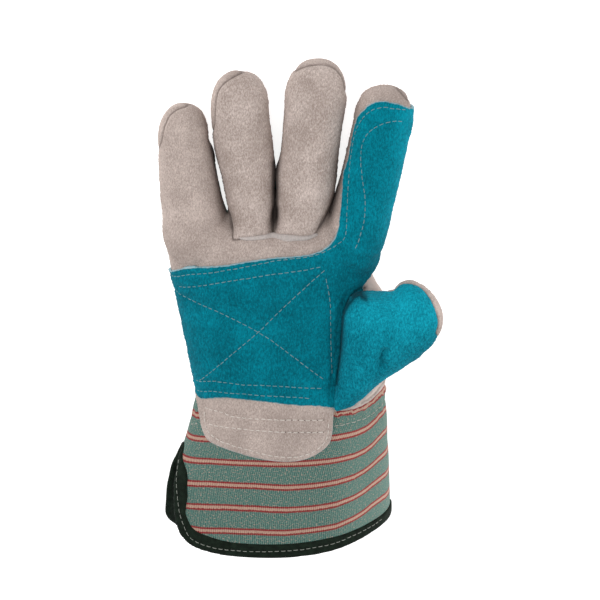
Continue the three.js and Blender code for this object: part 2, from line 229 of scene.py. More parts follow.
# The seam at the base of the two finger fronts that are sewn in, their outline, and where they part
FRONT_BASE = [
    (-35.8, 37.4), (-31.5, 37.7), (-13.9, 39.4), (2.7, 38.7), (6.9, 39.1), (9.6, 41.7), (12.6, 47.7),
]
FINGER_FRONTS = [
    (-52, 150), (-52, 110), (-48.6, 98), (-47.3, 89), (-44.6, 73), (-41.5, 56), (-38, 48), (-36, 42),
    *FRONT_BASE, (16.3, 54), (20, 63.8), (21.6, 76), (24, 92), (28, 150),
]
RING_MIDDLE_X = -13.4
WELT_EDGE = [
    (-32.5, 38.4), (-13.9, 40.2), (2.7, 39.6), (8, 40.2), (9.8, 39.4), (4.8, 37.4),
    (-1.2, 36.9), (-7.5, 36.7), (-13.9, 38), (-27.8, 37),
]
VEIN_EDGE = [
    (-56.4, -55.6), (-56.2, -63.7), (-55.3, -68), (-54.5, -71.5), (-52.8, -75), (-50.4, -77.4), (-45.9, -79),
    (-39.7, -80.2), (-33.5, -81.4), (-27.4, -82.6), (-16.3, -84), (-5.4, -84.4), (3.4, -83.2), (11, -80.2),
    (15.6, -76.8), (17.3, -72.6), (17.9, -66), (17.6, -56), (11, -54), (0, -53), (-33, -52),
]
# The corner at the wrist, on the little finger's side, where the back reaches round to the front
WRIST_NOTCH = [(-75, -46), (-75, -70), (-55.5, -70), (-56.5, -53), (-60, -48)]
RIM = [
    (-95, -138.2), (-86, -138.9), (-80, -141.2), (-74, -142.6), (-68, -141.8), (-62, -138.9), (-58, -138.2),
    (-50, -138.5), (-43, -138.6), (-30, -138.8), (-17, -138.9), (0, -138.5), (20, -136.9), (34, -134.2),
    (44, -132.4), (60, -131.8),
]

# The slit in the cuff, seen from the little finger's side, as y and z

SLIT_TOP_Y = -83.6
SLIT_REACH_X = -20.0   # it cuts only the cloth on the left of this
SLIT = [
    (-150, 8), (-142, 10.5), (-137, 14), (-132, 16.8), (-124, 18.5), (-114, 19), (-104, 18), (-96, 18),
    (-90, 20.5), (-86, 23.5), (-84.5, 25.5), (-86, 27.5), (-89.5, 29.5), (-92, 32.5), (-94.4, 35.5),
    (-98, 38), (-104, 40), (-110, 41.5), (-116, 42.5), (-122, 43.5), (-127, 45), (-130.3, 46.3),
    (-133, 47.9), (-135.4, 49.6), (-137.3, 52), (-140, 56.5), (-150, 62),
]

# Rows of stitches seen from above

PATCH_ROWS = [
    [(-69.9, 12.5), (-60.4, 16.6), (-49.9, 19), (-39.4, 21.4), (-25.7, 24.4), (-12, 27.2), (1.6, 28.6),
     (10, 30.2), (17, 33), (21.6, 36), (24.4, 40), (25.1, 52.5), (25.8, 66.9), (27, 81.5), (29.7, 96.5),
     (35.1, 106), (42.1, 109.7), (49.2, 108.9), (56.2, 107.4)],
    [(-65.7, 8), (-53.3, 11.5), (-39.4, 15.1), (-25.7, 17.8), (-12, 20.1), (1.6, 21.6), (13.9, 23.8)],
    [(29.6, 33), (31.5, 37.6), (34.4, 49.9), (34.5, 60.8), (33.4, 67.9), (32.3, 78.7), (32.6, 88.5), (36, 96),
     (42.2, 100.6), (49.3, 102.3), (55.8, 101.1)],
    [(13.9, 16.3), (16.1, 4.3), (16.5, -8), (16.8, -22.2), (17.3, -33.4), (17.6, -40.6)],
    [(-57.4, -47.6), (-47.2, -44.1), (-33.3, -43.6), (-19.2, -43.4), (-5.4, -44), (7.1, -44.9),
     (15.6, -45.3)],
    [(-56.9, -53.4), (-46.1, -49.9), (-28.4, -49.1), (-12.2, -49.6), (1.6, -50.2), (9.3, -51.6)],
    [(-67.9, 4.1), (-45, -2.4), (-22.5, -12.9), (-3.8, -26.6), (14.2, -41.2)],
    [(13.2, 21.3), (-4.3, 5.7), (-22.5, -12.9), (-39.1, -28.7), (-56.9, -47.8)],
]
VEIN_ROWS = [
    [(-53, -61.8), (-42.3, -61.6), (-37.3, -63), (-10.9, -63.2), (16.4, -63.7)],
    [(-50.5, -69.5), (-35.7, -69), (-10.9, -69.4), (16, -70.1)],
    [(-52.8, -64), (-52.3, -69.6), (-50, -73.4), (-44, -76.2), (-37.8, -77.4), (-27.4, -79.2),
     (-15.3, -81.3), (-5, -81.8), (2.4, -81), (9, -78.6), (13.6, -75), (15.2, -71), (15.6, -64)],
]
# The right halves of those rows, where the needle's holes show beside the thread
NEEDLE_ROWS = [VEIN_ROWS[0][3:], VEIN_ROWS[1][2:], VEIN_ROWS[2][7:]]
WRIST_ROW_LEFT = [(-60.8, -73.6), (-58.5, -72.3), (-56.5, -71), (-54, -69.6)]
BINDING_ROW = [
    (-67.4, -91), (-68.1, -95.5), (-68.5, -99), (-68.5, -103.8), (-68.1, -108.5), (-67.5, -114),
    (-66.3, -120.3), (-64.2, -125.8), (-61.8, -130.6), (-57.4, -133.2), (-52.4, -134.6), (-46.1, -135.3),
    (-38.7, -135.5), (-30.7, -135.5), (-17, -135.3), (0, -134.7), (10, -133.9), (20, -132.9),
    (34, -130.2), (42, -128.9), (47, -128.4),
]
WRIST_ROW = [
    (18.7, -68.3), (25, -67.9), (30.7, -67.5), (35, -67.2), (39.3, -66.2), (43.7, -64.8), (47.4, -63.6),
]

# The palm leather's lower edge, a tuck above it and the folded seam under it

WRIST_HEM = [
    (-80, -64.4), (-56, -62), (16, -60.5), (22, -60), (30.3, -59.8), (34.5, -58.8), (40, -56.8),
    (44.3, -54.4), (47, -53.4), (60, -53),
]
HEM_TUCK = [(34, -57), (38, -55.8), (41.4, -54), (44, -51.8), (48, -50)]
WRIST_FOLD = [(16, -61.6), (25, -61.4), (36.4, -60.6), (42.1, -58.8), (48, -57)]

# How far the stripes stray from straight lines across the cuff: one row for each height y, at those x

STRIPE_X = (-64, -60, -55, -50, -41, -25, -8, 8, 20, 30, 36, 40, 43.5, 46.5, 48)
STRIPE_DRIFT = [
    (-124.5, (1.9, 1.8, 1.9, 1.3, 0.2, -0.4, 0.1, -0.6, -1.1, -3.6, -5.7, -7.5, -8.3, -7.9, -7.6)),
    (-111, (2.3, 1.8, 1, 0.5, -0.5, -0.9, -0.2, -0.2, -0.9, -2.9, -4.8, -6.7, -7.4, -7.8, -7.3)),
    (-98.5, (2.6, 2.2, 1.5, 0.7, 0.1, -0.5, 0.2, -0.1, -0.5, -1.5, -3.6, -5.5, -6.8, -6.9, -6.8)),
    (-87, (5.2, 4.5, 3.4, 2.3, 1.3, 0.3, 0, 0, 0.1, -0.3, -1.7, -3.7, -5.8, -6.4, -6.2)),
    (-75, (8.2, 7.3, 5.9, 4.6, 3, 1.5, 0.5, 0.5, 1.5, 0.9, -0.1, -1.5, -3.8, -5.4, -5)),
    (-62, (11, 10, 8.6, 7, 4, 2, 1, 1, 1.8, 2.1, 0.8, -1, -2.7, -3.8, -4)),
]

# Furrows and folds seen from above. Each gap between two fingers' roots has its depth at each point and
# its half width, and each fold in the patch has one depth and its half width

FRONT_LEFT_GAP = [(-40.3, 50), (-38, 46.5), (-36.2, 42), (-36.2, 38)]
FRONT_MIDDLE_GAP = [(-13.6, 50), (-13.8, 46), (-14.2, 43), (-14.8, 38.8)]
FRONT_RIGHT_GAP = [
    (19.9, 63.5), (18.3, 56.5), (16.7, 52.3), (14.6, 48.3), (12.6, 45.4), (10.6, 42.8), (8.6, 39.6),
]
ROOT_GAPS = [
    (FRONT_LEFT_GAP, [5, 4.2, 3, 1.8], 1.5),
    (FRONT_MIDDLE_GAP, [7, 7, 6, 3.5], 1.9),
    (FRONT_RIGHT_GAP, [3.5, 3.2, 2.8, 2.2, 1.8, 1.6, 1.2], 1.3),
]
THUMB_ROOT = [
    (19.8, -42.7), (20.4, -36.2), (21.7, -25.5), (22.4, -14.9), (23.2, -3), (24.3, 0.5), (26.3, 4.2),
    (29.1, 7.4), (31.9, 8.3), (35.3, 7.2),
]
# Shade in the clefts between the fingers: a line, how dark it is in the line and that half width, how
# dark it is beside the line and that half width
CLEFT_SHADES = [
    ([(-47, 84), (-44.8, 73), (-41.8, 56), (-38.4, 48), (-36.4, 42), (-36, 38)], 0.75, 0.8, 0.3, 4.5),
    ([(-13.2, 76), (-13.3, 60), (-13.5, 50), (-13.9, 43), (-14.6, 38.8)], 1.5, 1.7, 0.3, 4),
    ([(20.6, 76), *FRONT_RIGHT_GAP], 0.85, 0.75, 0.3, 3),
]
PALM_FOLD = [(-34, 33), (-20, 33.6), (0, 33)]
INDEX_FOLD = [(21.9, 33.5), (27.8, 30.2), (33.2, 27.8), (41, 25)]
PATCH_FOLDS = [(INDEX_FOLD, 0.9, 2.6), ([(26, 22), (33, 15), (36, 10)], 0.8, 3)]
THUMB_DIMPLE = [(45.5, -19.5), (43.6, -24), (44.5, -28)]


# Lofts

def eased(rows, steps):
    """Adds rows between those of a table, on a smooth curve through them."""
    rows = np.array(rows, float)
    at = rows[:, 0]
    slope = np.gradient(rows, at, axis=0)
    found = []
    for i in range(len(rows) - 1):
        span = at[i + 1] - at[i]
        for k in range(steps):
            t = k / steps
            found.append(
                (2 * t**3 - 3 * t**2 + 1) * rows[i] + (t**3 - 2 * t**2 + t) * span * slope[i]
                + (3 * t**2 - 2 * t**3) * rows[i + 1] + (t**3 - t**2) * span * slope[i + 1]
            )
    found.append(rows[-1])
    return np.array(found)


def rounded_end(rows, tip, bluntness=BLUNTNESS, stops=10):
    """Rows that shrink from the last section of a finger to its tip as a blunt ellipse does."""
    last = rows[-1]
    tip_x, tip_y, tip_z = tip
    found = []
    for t in np.sin(np.linspace(0, math.pi / 2, stops + 1)[1:-1]) * 0.995:
        size = (1 - t**bluntness) ** (1 / bluntness)
        middle = (last[1] + last[2]) / 2 * (1 - t) + tip_x * t
        half = (last[2] - last[1]) / 2 * size
        found.append((
            last[0] + (tip_y - last[0]) * t, middle - half, middle + half,
            tip_z + (last[3] - tip_z) * size, tip_z + (last[4] - tip_z) * size,
            last[5] + (tip_z - last[5]) * t, last[6] + (tip_z - last[6]) * t,
        ))
    return found


def around_circle(sides):
    return np.arange(sides) * (2 * math.pi / sides)


def section_rings(rows, sides, fullness):
    """One oval of points for each row, a little squarer than an ellipse where fullness is under 1."""
    rows = np.asarray(rows, float)[:, :, None]
    y, left, right, top, bottom, left_z, right_z = (rows[:, k] for k in range(7))
    angle = around_circle(sides)
    across = np.sign(np.cos(angle)) * np.abs(np.cos(angle)) ** fullness
    rise = np.sign(np.sin(angle)) * np.abs(np.sin(angle)) ** fullness
    share = (1 + across) / 2
    side_z = left_z + (right_z - left_z) * share
    x = left + (right - left) * share
    z = side_z + rise * np.where(rise > 0, top - side_z, side_z - bottom)
    return np.stack([x, y + 0 * x, z], axis=-1)


def strips(one, other):
    """Two triangles for each quad between neighbouring rows of points, which one and other number."""
    a, b, c, d = one[:-1], other[:-1], other[1:], one[1:]
    return np.concatenate([
        np.stack([a, b, c], axis=-1).reshape(-1, 3),
        np.stack([a, c, d], axis=-1).reshape(-1, 3),
    ])


def loft(rings, tip=None):
    """A closed skin through the rings, as points and faces."""
    count, sides = rings.shape[:2]
    end = rings[-1].mean(axis=0) if tip is None else np.array(tip, float)
    points = np.concatenate([rings.reshape(-1, 3), rings[0].mean(axis=0)[None], end[None]])
    faces = []
    for i in range(sides):
        n = (i + 1) % sides
        faces.append((count * sides, i, n))
        faces.append((count * sides + 1, (count - 1) * sides + n, (count - 1) * sides + i))
        for r in range(count - 1):
            faces.append((r * sides + i, (r + 1) * sides + i, (r + 1) * sides + n, r * sides + n))
    return points, faces


def pressed(points, floor=0.35, softness=1.2):
    """Flattens what would sink into the table, with a soft edge."""
    height = (points[:, 2] - floor) / softness
    points = points.copy()
    points[:, 2] = floor + softness * np.where(height > 12, height, np.log1p(np.exp(np.minimum(height, 12))))
    return points


# Surfaces

class Skin:
    """A surface of triangles whose points carry their normals, and any other value by name."""

    def __init__(self, points, faces, normals=None, **values):
        self.points = points
        self.faces = faces
        self.normals = point_normals(points, faces) if normals is None else normals
        self.values = values

    def moved(self, points):
        """The same skin with its points elsewhere."""
        return Skin(points, self.faces, **self.values)

    def pushed(self, amount):
        """The same skin, pushed out along its normals."""
        return self.moved(self.points + self.normals * np.reshape(amount, (-1, 1)))

    def noted(self, **values):
        """The same skin with more values on its points."""
        return Skin(self.points, self.faces, self.normals, **{**self.values, **values})


def point_normals(points, faces):
    a, b, c = (points[faces[:, k]] for k in range(3))
    flat = np.cross(b - a, c - a)
    total = np.stack([
        np.bincount(faces.ravel(), np.repeat(flat[:, k], 3), minlength=len(points)) for k in range(3)
    ], axis=1)
    return total / np.maximum(np.linalg.norm(total, axis=1, keepdims=True), 1e-12)


def sides_of(faces):
    return np.concatenate([faces[:, [0, 1]], faces[:, [1, 2]], faces[:, [2, 0]]])


def edges_of(faces):
    return np.unique(np.sort(sides_of(faces), axis=1), axis=0)


def evened(points, faces, pulls):
    """Moves each point towards the middle of its neighbours, once for each pull and by that share."""
    edges = edges_of(faces)
    ends = np.concatenate([edges, edges[:, ::-1]])
    degree = np.maximum(np.bincount(ends[:, 0], minlength=len(points)), 1)[:, None]
    for pull in pulls:
        mean = np.stack([
            np.bincount(ends[:, 0], points[ends[:, 1], k], minlength=len(points)) for k in range(3)
        ], axis=1) / degree
        points = points + pull * (mean - points)
    return points


def placed(name, data):
    """A new object in the scene."""
    thing = bpy.data.objects.new(name, data)
    bpy.context.scene.collection.objects.link(thing)
    return thing


def fused(forms, size, rounds):
    """Joins closed forms into one even surface, and smooths it without shrinking it."""
    mesh = bpy.data.meshes.new("fused")
    offset = 0
    all_points, all_faces = [], []
    for points, faces in forms:
        all_points.append(pressed(points))
        all_faces += [[i + offset for i in face] for face in faces]
        offset += len(points)
    mesh.from_pydata(np.concatenate(all_points).tolist(), [], all_faces)
    thing = placed("fused", mesh)
    remesh = thing.modifiers.new("even", "REMESH")
    remesh.mode = "VOXEL"
    remesh.voxel_size = size
    result = thing.evaluated_get(bpy.context.evaluated_depsgraph_get()).to_mesh()
    points = np.empty(len(result.vertices) * 3)
    result.vertices.foreach_get("co", points)
    result.calc_loop_triangles()
    faces = np.empty(len(result.loop_triangles) * 3, dtype=np.int32)
    result.loop_triangles.foreach_get("vertices", faces)
    bpy.data.objects.remove(thing)
    bpy.data.meshes.remove(mesh)
    points, faces = points.reshape(-1, 3), faces.reshape(-1, 3).astype(np.int64)
    in_and_back = (0.55, -0.57)
    return evened(points, faces, in_and_back * rounds), faces


def cut(skin, field):
    """Keeps the part of a skin where the field is above 0, with a clean edge along its zero line, and
    notes the field as how far inside that edge each point is."""
    field = np.where(np.abs(field) < 1e-3, 1e-3, field)
    skin = skin.noted(inside=field)
    keep = field > 0
    inside = keep[skin.faces].sum(axis=1)
    whole = skin.faces[inside == 3]
    mixed = skin.faces[(inside == 1) | (inside == 2)]
    odd = keep[mixed] == (keep[mixed].sum(axis=1) == 1)[:, None]
    first = odd.argmax(axis=1)
    rolled = np.stack([mixed[np.arange(len(mixed)), (first + k) % 3] for k in range(3)], axis=1)
    pairs = np.concatenate([rolled[:, [0, 1]], rolled[:, [0, 2]]])
    unique, where = np.unique(np.sort(pairs, axis=1), axis=0, return_inverse=True)
    where = where.reshape(-1) + len(skin.points)
    ab, ac = where[:len(rolled)], where[len(rolled):]
    share = field[unique[:, 0]] / (field[unique[:, 0]] - field[unique[:, 1]])

    def between(value):
        weight = share.reshape((-1,) + (1,) * (value.ndim - 1))
        return np.concatenate([value, value[unique[:, 0]] * (1 - weight) + value[unique[:, 1]] * weight])

    one = keep[rolled[:, 0]]
    a, b, c = rolled.T
    faces = np.concatenate([
        whole,
        np.stack([a, ab, ac], axis=1)[one],
        np.stack([ab, b, c], axis=1)[~one],
        np.stack([ab, c, ac], axis=1)[~one],
    ])
    used, faces = np.unique(faces, return_inverse=True)
    normals = between(skin.normals)[used]
    values = {name: between(value)[used] for name, value in skin.values.items()}
    return Skin(between(skin.points)[used], faces.reshape(-1, 3), normals, **values)


def open_edges(faces):
    """The edges that only one face has, in that face's direction."""
    pairs = sides_of(faces)
    _, where, count = np.unique(np.sort(pairs, axis=1), axis=0, return_inverse=True, return_counts=True)
    return pairs[count[where.reshape(-1)] == 1]


def thick(skin, over, under):
    """Gives a skin its thickness: a closed solid from over its surface to under it."""
    points, normals = skin.points, skin.normals
    count = len(points)
    upper = points + normals * np.reshape(over, (-1, 1))
    lower = points - normals * np.reshape(under, (-1, 1))
    rim = open_edges(skin.faces)
    walls = np.concatenate([
        np.stack([rim[:, 1], rim[:, 0], rim[:, 0] + count], axis=1),
        np.stack([rim[:, 1], rim[:, 0] + count, rim[:, 1] + count], axis=1),
    ])
    faces = np.concatenate([skin.faces, skin.faces[:, ::-1] + count, walls])
    values = {name: np.concatenate([value, value]) for name, value in skin.values.items()}
    both = np.concatenate([upper, lower])
    both[:, 2] = np.maximum(both[:, 2], 0.02)   # stays just above the floor
    return Skin(both, faces, **values)


def joined(skins):
    """Several skins as one, without their values."""
    counts = np.cumsum([0] + [len(skin.points) for skin in skins])
    return Skin(
        np.concatenate([skin.points for skin in skins]),
        np.concatenate([skin.faces + start for skin, start in zip(skins, counts)]),
    )


# Distances

def off_line(line, points, closed=False):
    """The distance of each point from a line, in the plane of the first two coordinates."""
    spots = points[:, :2]
    line = np.array(line, float)
    ends = np.roll(line, -1, axis=0) if closed else line[1:]
    best = np.full(len(spots), 1e9)
    for a, b in zip(line, ends):
        run = b - a
        t = np.clip(((spots - a) @ run) / max(float(run @ run), 1e-9), 0, 1)
        gap = spots - a - t[:, None] * run
        best = np.minimum(best, np.einsum("ij,ij->i", gap, gap))
    return np.sqrt(best)


def off_curve(line, points):
    """The distance of each point from the smooth curve through a line."""
    return off_line(curved(line), points)


def within(outline, points):
    """The distance of each point from an outline in that plane, above 0 inside it."""
    line = np.array(outline, float)
    x, y = points[:, 0], points[:, 1]
    inside = np.zeros(len(points), bool)
    for (ax, ay), (bx, by) in zip(line, np.roll(line, -1, axis=0)):
        if ay == by:
            continue
        inside ^= ((ay > y) != (by > y)) & (x < (bx - ax) * (y - ay) / (by - ay) + ax)
    distance = off_line(line, points, closed=True)
    return np.where(inside, distance, -distance)


def curved(line, steps=4, closed=False):
    """A smooth curve through the corners of a line."""
    line = np.array(line, float)
    if closed:
        line = np.concatenate([line[-1:], line, line[:2]])
    else:
        line = np.concatenate([2 * line[:1] - line[1:2], line, 2 * line[-1:] - line[-2:-1]])
    found = []
    for a, b, c, d in zip(line, line[1:], line[2:], line[3:]):
        for t in np.arange(steps) / steps:
            bend = (2 * a - 5 * b + 4 * c - d) * t**2 + (3 * b - a - 3 * c + d) * t**3
            found.append(0.5 * (2 * b + (c - a) * t + bend))
    if not closed:
        found.append(line[-2])
    return np.array(found)


def zero_line(skin, field):
    """Points along the line where a field on a skin passes 0."""
    edges = edges_of(skin.faces)
    a, b = field[edges[:, 0]], field[edges[:, 1]]
    cross = (a > 0) != (b > 0)
    a, b, edges = a[cross], b[cross], edges[cross]
    share = (a / (a - b))[:, None]
    return skin.points[edges[:, 0]] * (1 - share) + skin.points[edges[:, 1]] * share


def within_curve(outline, points):
    """The distance of each point inside the smooth curve through an outline."""
    return within(curved(outline, 4, True), points)


def away_from(spots, points):
    """The distance of each point from the nearest of the spots."""
    tree = KDTree(len(spots))
    for number, spot in enumerate(spots):
        tree.insert(spot, number)
    tree.balance()
    return np.array([tree.find(point)[2] for point in points])


def search_tree(skin):
    return BVHTree.FromPolygons(skin.points.tolist(), skin.faces.tolist())


def outside_of(skin, points, reach=12.0):
    """The distance of each point from a closed skin, above 0 outside it and never above the reach."""
    tree = search_tree(skin)
    low, high = skin.points.min(axis=0) - reach, skin.points.max(axis=0) + reach
    found = np.full(len(points), reach)
    for i in np.flatnonzero(np.all((points > low) & (points < high), axis=1)):
        spot, normal, _, distance = tree.find_nearest(points[i], reach * 2)
        if spot is not None:
            found[i] = distance if (Vector(points[i]) - spot).dot(normal) > 0 else -distance
    return np.minimum(found, reach)


def bell(distance, width):
    """1 in the middle, falling softly to 0 beyond that half width."""
    return np.exp(-((distance / width) ** 2))


def groove(distance, depth, width):
    """A soft furrow of that depth and half width, as a push inwards."""
    return -depth * bell(distance, width)


def rounded_off(inside, radius):
    """How far a cut edge of that radius drops towards its rim."""
    t = np.clip(1 - inside / radius, 0, 1)
    return radius * (1 - np.sqrt(1 - t**2 * 0.96))


def waviness(points, size):
    """Smooth noise from -1 to 1 with hills of that size."""
    return np.array([noise.noise(spot) for spot in (points / size).tolist()])


def ramp(value, start, span):
    """0 up to the start, then a soft climb to 1 over the span, which is below 0 for a climb downwards."""
    t = np.clip((value - start) / span, 0, 1)
    return t * t * (3 - 2 * t)


# The hand

def tufts(points):
    """The uneven tips of the nap, from point to point."""
    return np.clip(rng.normal(0, 0.12, len(points)), -0.25, 0.25)


def opening(y):
    """How far a finger counts as spread at the heights y: 0 at its root and 1 above it."""
    return ramp(y, ROOTS_Y, 12)


def middle_line(one, other, y, spread=0.0):
    """Where two neighbouring fingers part, at the heights y."""
    a, b = np.array(one["rows"]), np.array(other["rows"])
    middle = (np.interp(y, a[:, 0], a[:, 2]) + np.interp(y, b[:, 0], b[:, 1])) / 2
    return middle + spread * (one["spread"] + other["spread"]) / 2 * opening(y)


def finger_number(points):
    """Counts the gaps between fingers on the left of each point, so that 0 is the little finger."""
    found = np.zeros(len(points), int)
    fingers = list(FINGERS.values())
    for one, other in zip(fingers, fingers[1:]):
        found += points[:, 0] > middle_line(one, other, points[:, 1])
    return found


def moved_aside(points, amount):
    moved = points.copy()
    moved[:, 0] += amount * opening(points[:, 1])
    return moved


def finger_form(finger):
    rows = list(eased(finger["rows"], 5))
    rows += rounded_end(finger["rows"], finger["tip"], finger.get("bluntness", BLUNTNESS))
    points, faces = loft(section_rings(rows, 48, FULLNESS), finger["tip"])
    return moved_aside(points, finger["spread"]), faces


def brought_together(points):
    """Moves the spread fingers back, and what lies between two of them in proportion."""
    fingers = list(FINGERS.values())
    amount = np.full(len(points), fingers[0]["spread"])
    for one, other in zip(fingers, fingers[1:]):
        step = other["spread"] - one["spread"]
        past = points[:, 0] - middle_line(one, other, points[:, 1], 1.0)
        amount += step * np.clip(past / (1.05 * step) + 0.5, 0, 1)
    return moved_aside(points, -amount)


def hand_skin(size, rounds):
    """The leather hand in one surface: its fingers stay spread until they are joined to the palm."""
    palm = loft(section_rings(eased(HAND, 5), 72, FULLNESS))
    points, faces = fused([palm] + [finger_form(finger) for finger in FINGERS.values()], size, rounds)
    return Skin(brought_together(points), faces)


def front_inside(points, most=3.0):
    """How far inside the front leather's outline a fingertip's point is, and the most below the tips."""
    number = finger_number(points)
    found = np.full(len(points), most)
    for k, finger in enumerate(FINGERS.values()):
        mine = (number == k) & (points[:, 1] > 60)
        found[mine] = np.minimum(within_curve(finger["front"], points[mine]), most)
    return found


def above_seam(points):
    """The distance above the seam between palm side and back, which climbs over each fingertip and
    dips between the index finger and the thumb."""
    x, y, z = points.T
    dip = 6 * ramp(x, 30, 8) * ramp(y, -4, 6) * ramp(y, 30, -6)
    side = (z - SEAM_Z + dip) / SEAM_ROUNDING
    return -SEAM_ROUNDING * np.logaddexp(-side, -front_inside(points) / SEAM_ROUNDING)


def hand_fields(points, above):
    """Signed distances that part the hand into its pieces, by the names of their solids."""
    far_off = -5.0
    palm = np.minimum(above, -within(WRIST_NOTCH, points))
    fronts = within(curved(FINGER_FRONTS), points)
    number = finger_number(points)
    tips = {}
    for k, (name, finger) in enumerate(FINGERS.items()):
        start = points[:, 1] - (finger["tip"][1] - TIP_LEATHER)
        tips[f"{name}_fingertip_back"] = np.where(number == k, np.minimum(start, -palm), far_off)
    ring = np.interp(points[:, 1], [38, 52], [RING_MIDDLE_X - 1.2, RING_MIDDLE_X]) - points[:, 0]
    hem = points[:, 1] - np.interp(points[:, 0], *zip(*WRIST_HEM))
    off_tips = -np.max(list(tips.values()), axis=0)
    return {
        "palm_leather": np.minimum(np.minimum(palm, -fronts), hem),
        "ring_finger_front": np.minimum(np.minimum(palm, fronts), ring),
        "middle_finger_front": np.minimum(np.minimum(palm, fronts), -ring),
        "back_fabric": np.minimum(np.minimum(-palm, off_tips), points[:, 1] - WRIST_Y),
        **tips,
    }


def cleft_share(points):
    """1 in the clefts between the fingers' roots and 0 away from them."""
    near = np.min([off_line(line, points) for line, *_ in ROOT_GAPS], axis=0)
    return ramp(near, 5, -3) * ramp(points[:, 2], SEAM_Z, 4)


def settled(skin, rounds=8):
    """Evens out the skin in the clefts, where dropping it has crumpled it."""
    pull = 0.6 * cleft_share(skin.points)[:, None]
    return skin.moved(evened(skin.points, skin.faces, [pull] * rounds))


def hand_relief(points, above, off_thumb):
    """The furrows along the seams, the folds and the nap, as a push outwards."""
    fronts = within(curved(FINGER_FRONTS), points)
    base = off_curve(FRONT_BASE, points)
    top = points[:, 2] > SEAM_Z + 6
    push = groove(np.abs(above), 0.35, 0.9)
    push += top * groove(base, 1.0, 1.0)
    push += top * (fronts > 0) * 0.9 * bell(base - 2.6, 2.0)
    push += groove(np.maximum(off_thumb, 0), 1.0, 1.6)
    push += top * groove(off_curve(PALM_FOLD, points), 0.4, 3.0)
    push += 0.16 * waviness(points, FINE_NAP) + 0.3 * waviness(points + 40, 9.0)
    push += top * groove(off_curve(HEM_TUCK, points), 0.7, 0.9)
    push += tufts(points) * ramp(above, 0, 1)
    return push * (1 - 0.8 * cleft_share(points))


def gap_drop(points):
    """How far the valleys between the fingers' roots drop."""
    drop = np.zeros(len(points))
    top = ramp(points[:, 2], 15, 9)
    for line, depth, width in ROOT_GAPS:
        line = np.array(line)
        at = np.interp(points[:, 1], line[::-1, 1], np.array(depth)[::-1])
        drop += top * at * bell(off_line(line, points), width)
    return drop


# The thumb

def turned(points, base, angle):
    """Points turned by an angle seen from above, then moved by the base."""
    found = points.copy()
    found[:, 0] = base[0] + points[:, 0] * math.cos(angle) - points[:, 1] * math.sin(angle)
    found[:, 1] = base[1] + points[:, 0] * math.sin(angle) + points[:, 1] * math.cos(angle)
    return found


def thumb_frame(points):
    """Points as the thumb's own table has them, with y along the thumb."""
    return turned(points - np.array([*THUMB_BASE, 0]), (0, 0), -THUMB_LEAN)


def thumb_skin():
    rows = list(eased(THUMB["rows"], 5))
    rows += rounded_end(THUMB["rows"], THUMB["tip"])
    points, faces = loft(section_rings(rows, 56, FULLNESS), THUMB["tip"])
    return Skin(*fused([(turned(points, THUMB_BASE, THUMB_LEAN), faces)], GRAIN, 6))


def above_thumb_seam(points):
    """The height above the thumb's seam, which climbs on the outer side of its tip."""
    across, along, _ = thumb_frame(points).T
    rim = np.interp(along + across, *zip(*THUMB_RIM))
    return points[:, 2] - THUMB_SEAM_Z - np.minimum(rim, np.interp(along, *zip(*THUMB_RIM_ENDS)))


def thumb_relief(points, above, off_hand):
    """The furrows along the thumb's seams, its dimple and the nap, as a push outwards."""
    push = groove(np.abs(above), 0.4, 0.9)
    push += groove(np.maximum(off_hand, 0), 1.2, 1.8)
    push += (points[:, 2] > 36) * groove(off_curve(THUMB_DIMPLE, points), 2.8, 1.9)
    push += 0.18 * waviness(points, FINE_NAP) + 0.35 * waviness(points + 70, 8.0) + tufts(points)
    return push


# The cuff

def cuff_skin():
    """The cuff's cloth past its rim and over its slit, with each point's place in the weave."""
    rings = section_rings(eased(CUFF, 10), 320, 1.0)
    count, sides = rings.shape[:2]
    index = np.arange(count * sides).reshape(count, sides)
    skin = Skin(pressed(rings.reshape(-1, 3)), strips(np.roll(index, -1, axis=1), index))
    step = np.linalg.norm(np.diff(rings, axis=1), axis=2).cumsum(axis=1)
    around = np.concatenate([np.zeros((count, 1)), step], axis=1).ravel()
    skin = skin.pushed(cuff_relief(skin.points, around))
    return skin.noted(around=around, along=weft_place(skin.points))


def cuff_relief(points, around):
    """Soft buckles in the cloth, small gathers below the wrist seam and the fold on its right."""
    below = WRIST_Y - points[:, 1]
    push = 0.55 * waviness(points * [1, 0.7, 1] + 20, 24.0) * ramp(below, 0, 12)
    push += 0.35 * np.sin(around / 1.15) * bell(below, 7) * (below > -4)
    palm_side = points[:, 2] > 8
    pucker = 1 + 0.45 * waviness(points + 5, 2.2)
    push += palm_side * (points[:, 0] > 10) * 1.1 * pucker * bell(off_line(WRIST_FOLD, points), 2.0)
    push += palm_side * groove(off_curve(WRIST_ROW, points), 0.5, 0.9)
    return push


def weft_place(points):
    """Where each point lies along the cloth, so that the stripes follow the weave and crumple in the fold."""
    heights = [y for y, _ in STRIPE_DRIFT]
    drifts = np.stack([np.interp(points[:, 0], STRIPE_X, drift) for _, drift in STRIPE_DRIFT])
    row = np.interp(points[:, 1], heights, range(len(heights)))
    low = np.minimum(row.astype(int), len(heights) - 2)
    each = np.arange(len(points))
    share = row - low
    gathers = bell(off_curve(WRIST_FOLD, points), 2.2) * (points[:, 0] > 10)
    crumpled = 1.5 * gathers * waviness(points + 5, 1.8)
    return points[:, 1] + drifts[low, each] * (1 - share) + drifts[low + 1, each] * share + crumpled


def from_cuff_edge(points):
    """How far inside the cuff's rim and slit a point is, above 0 on the cloth."""
    rim = points[:, 1] - np.interp(points[:, 0], *curved(RIM, 5).T)
    slit = -within(curved(SLIT, 3, True), points[:, 1:])
    return np.where(points[:, 0] < SLIT_REACH_X, np.minimum(rim, slit), rim)


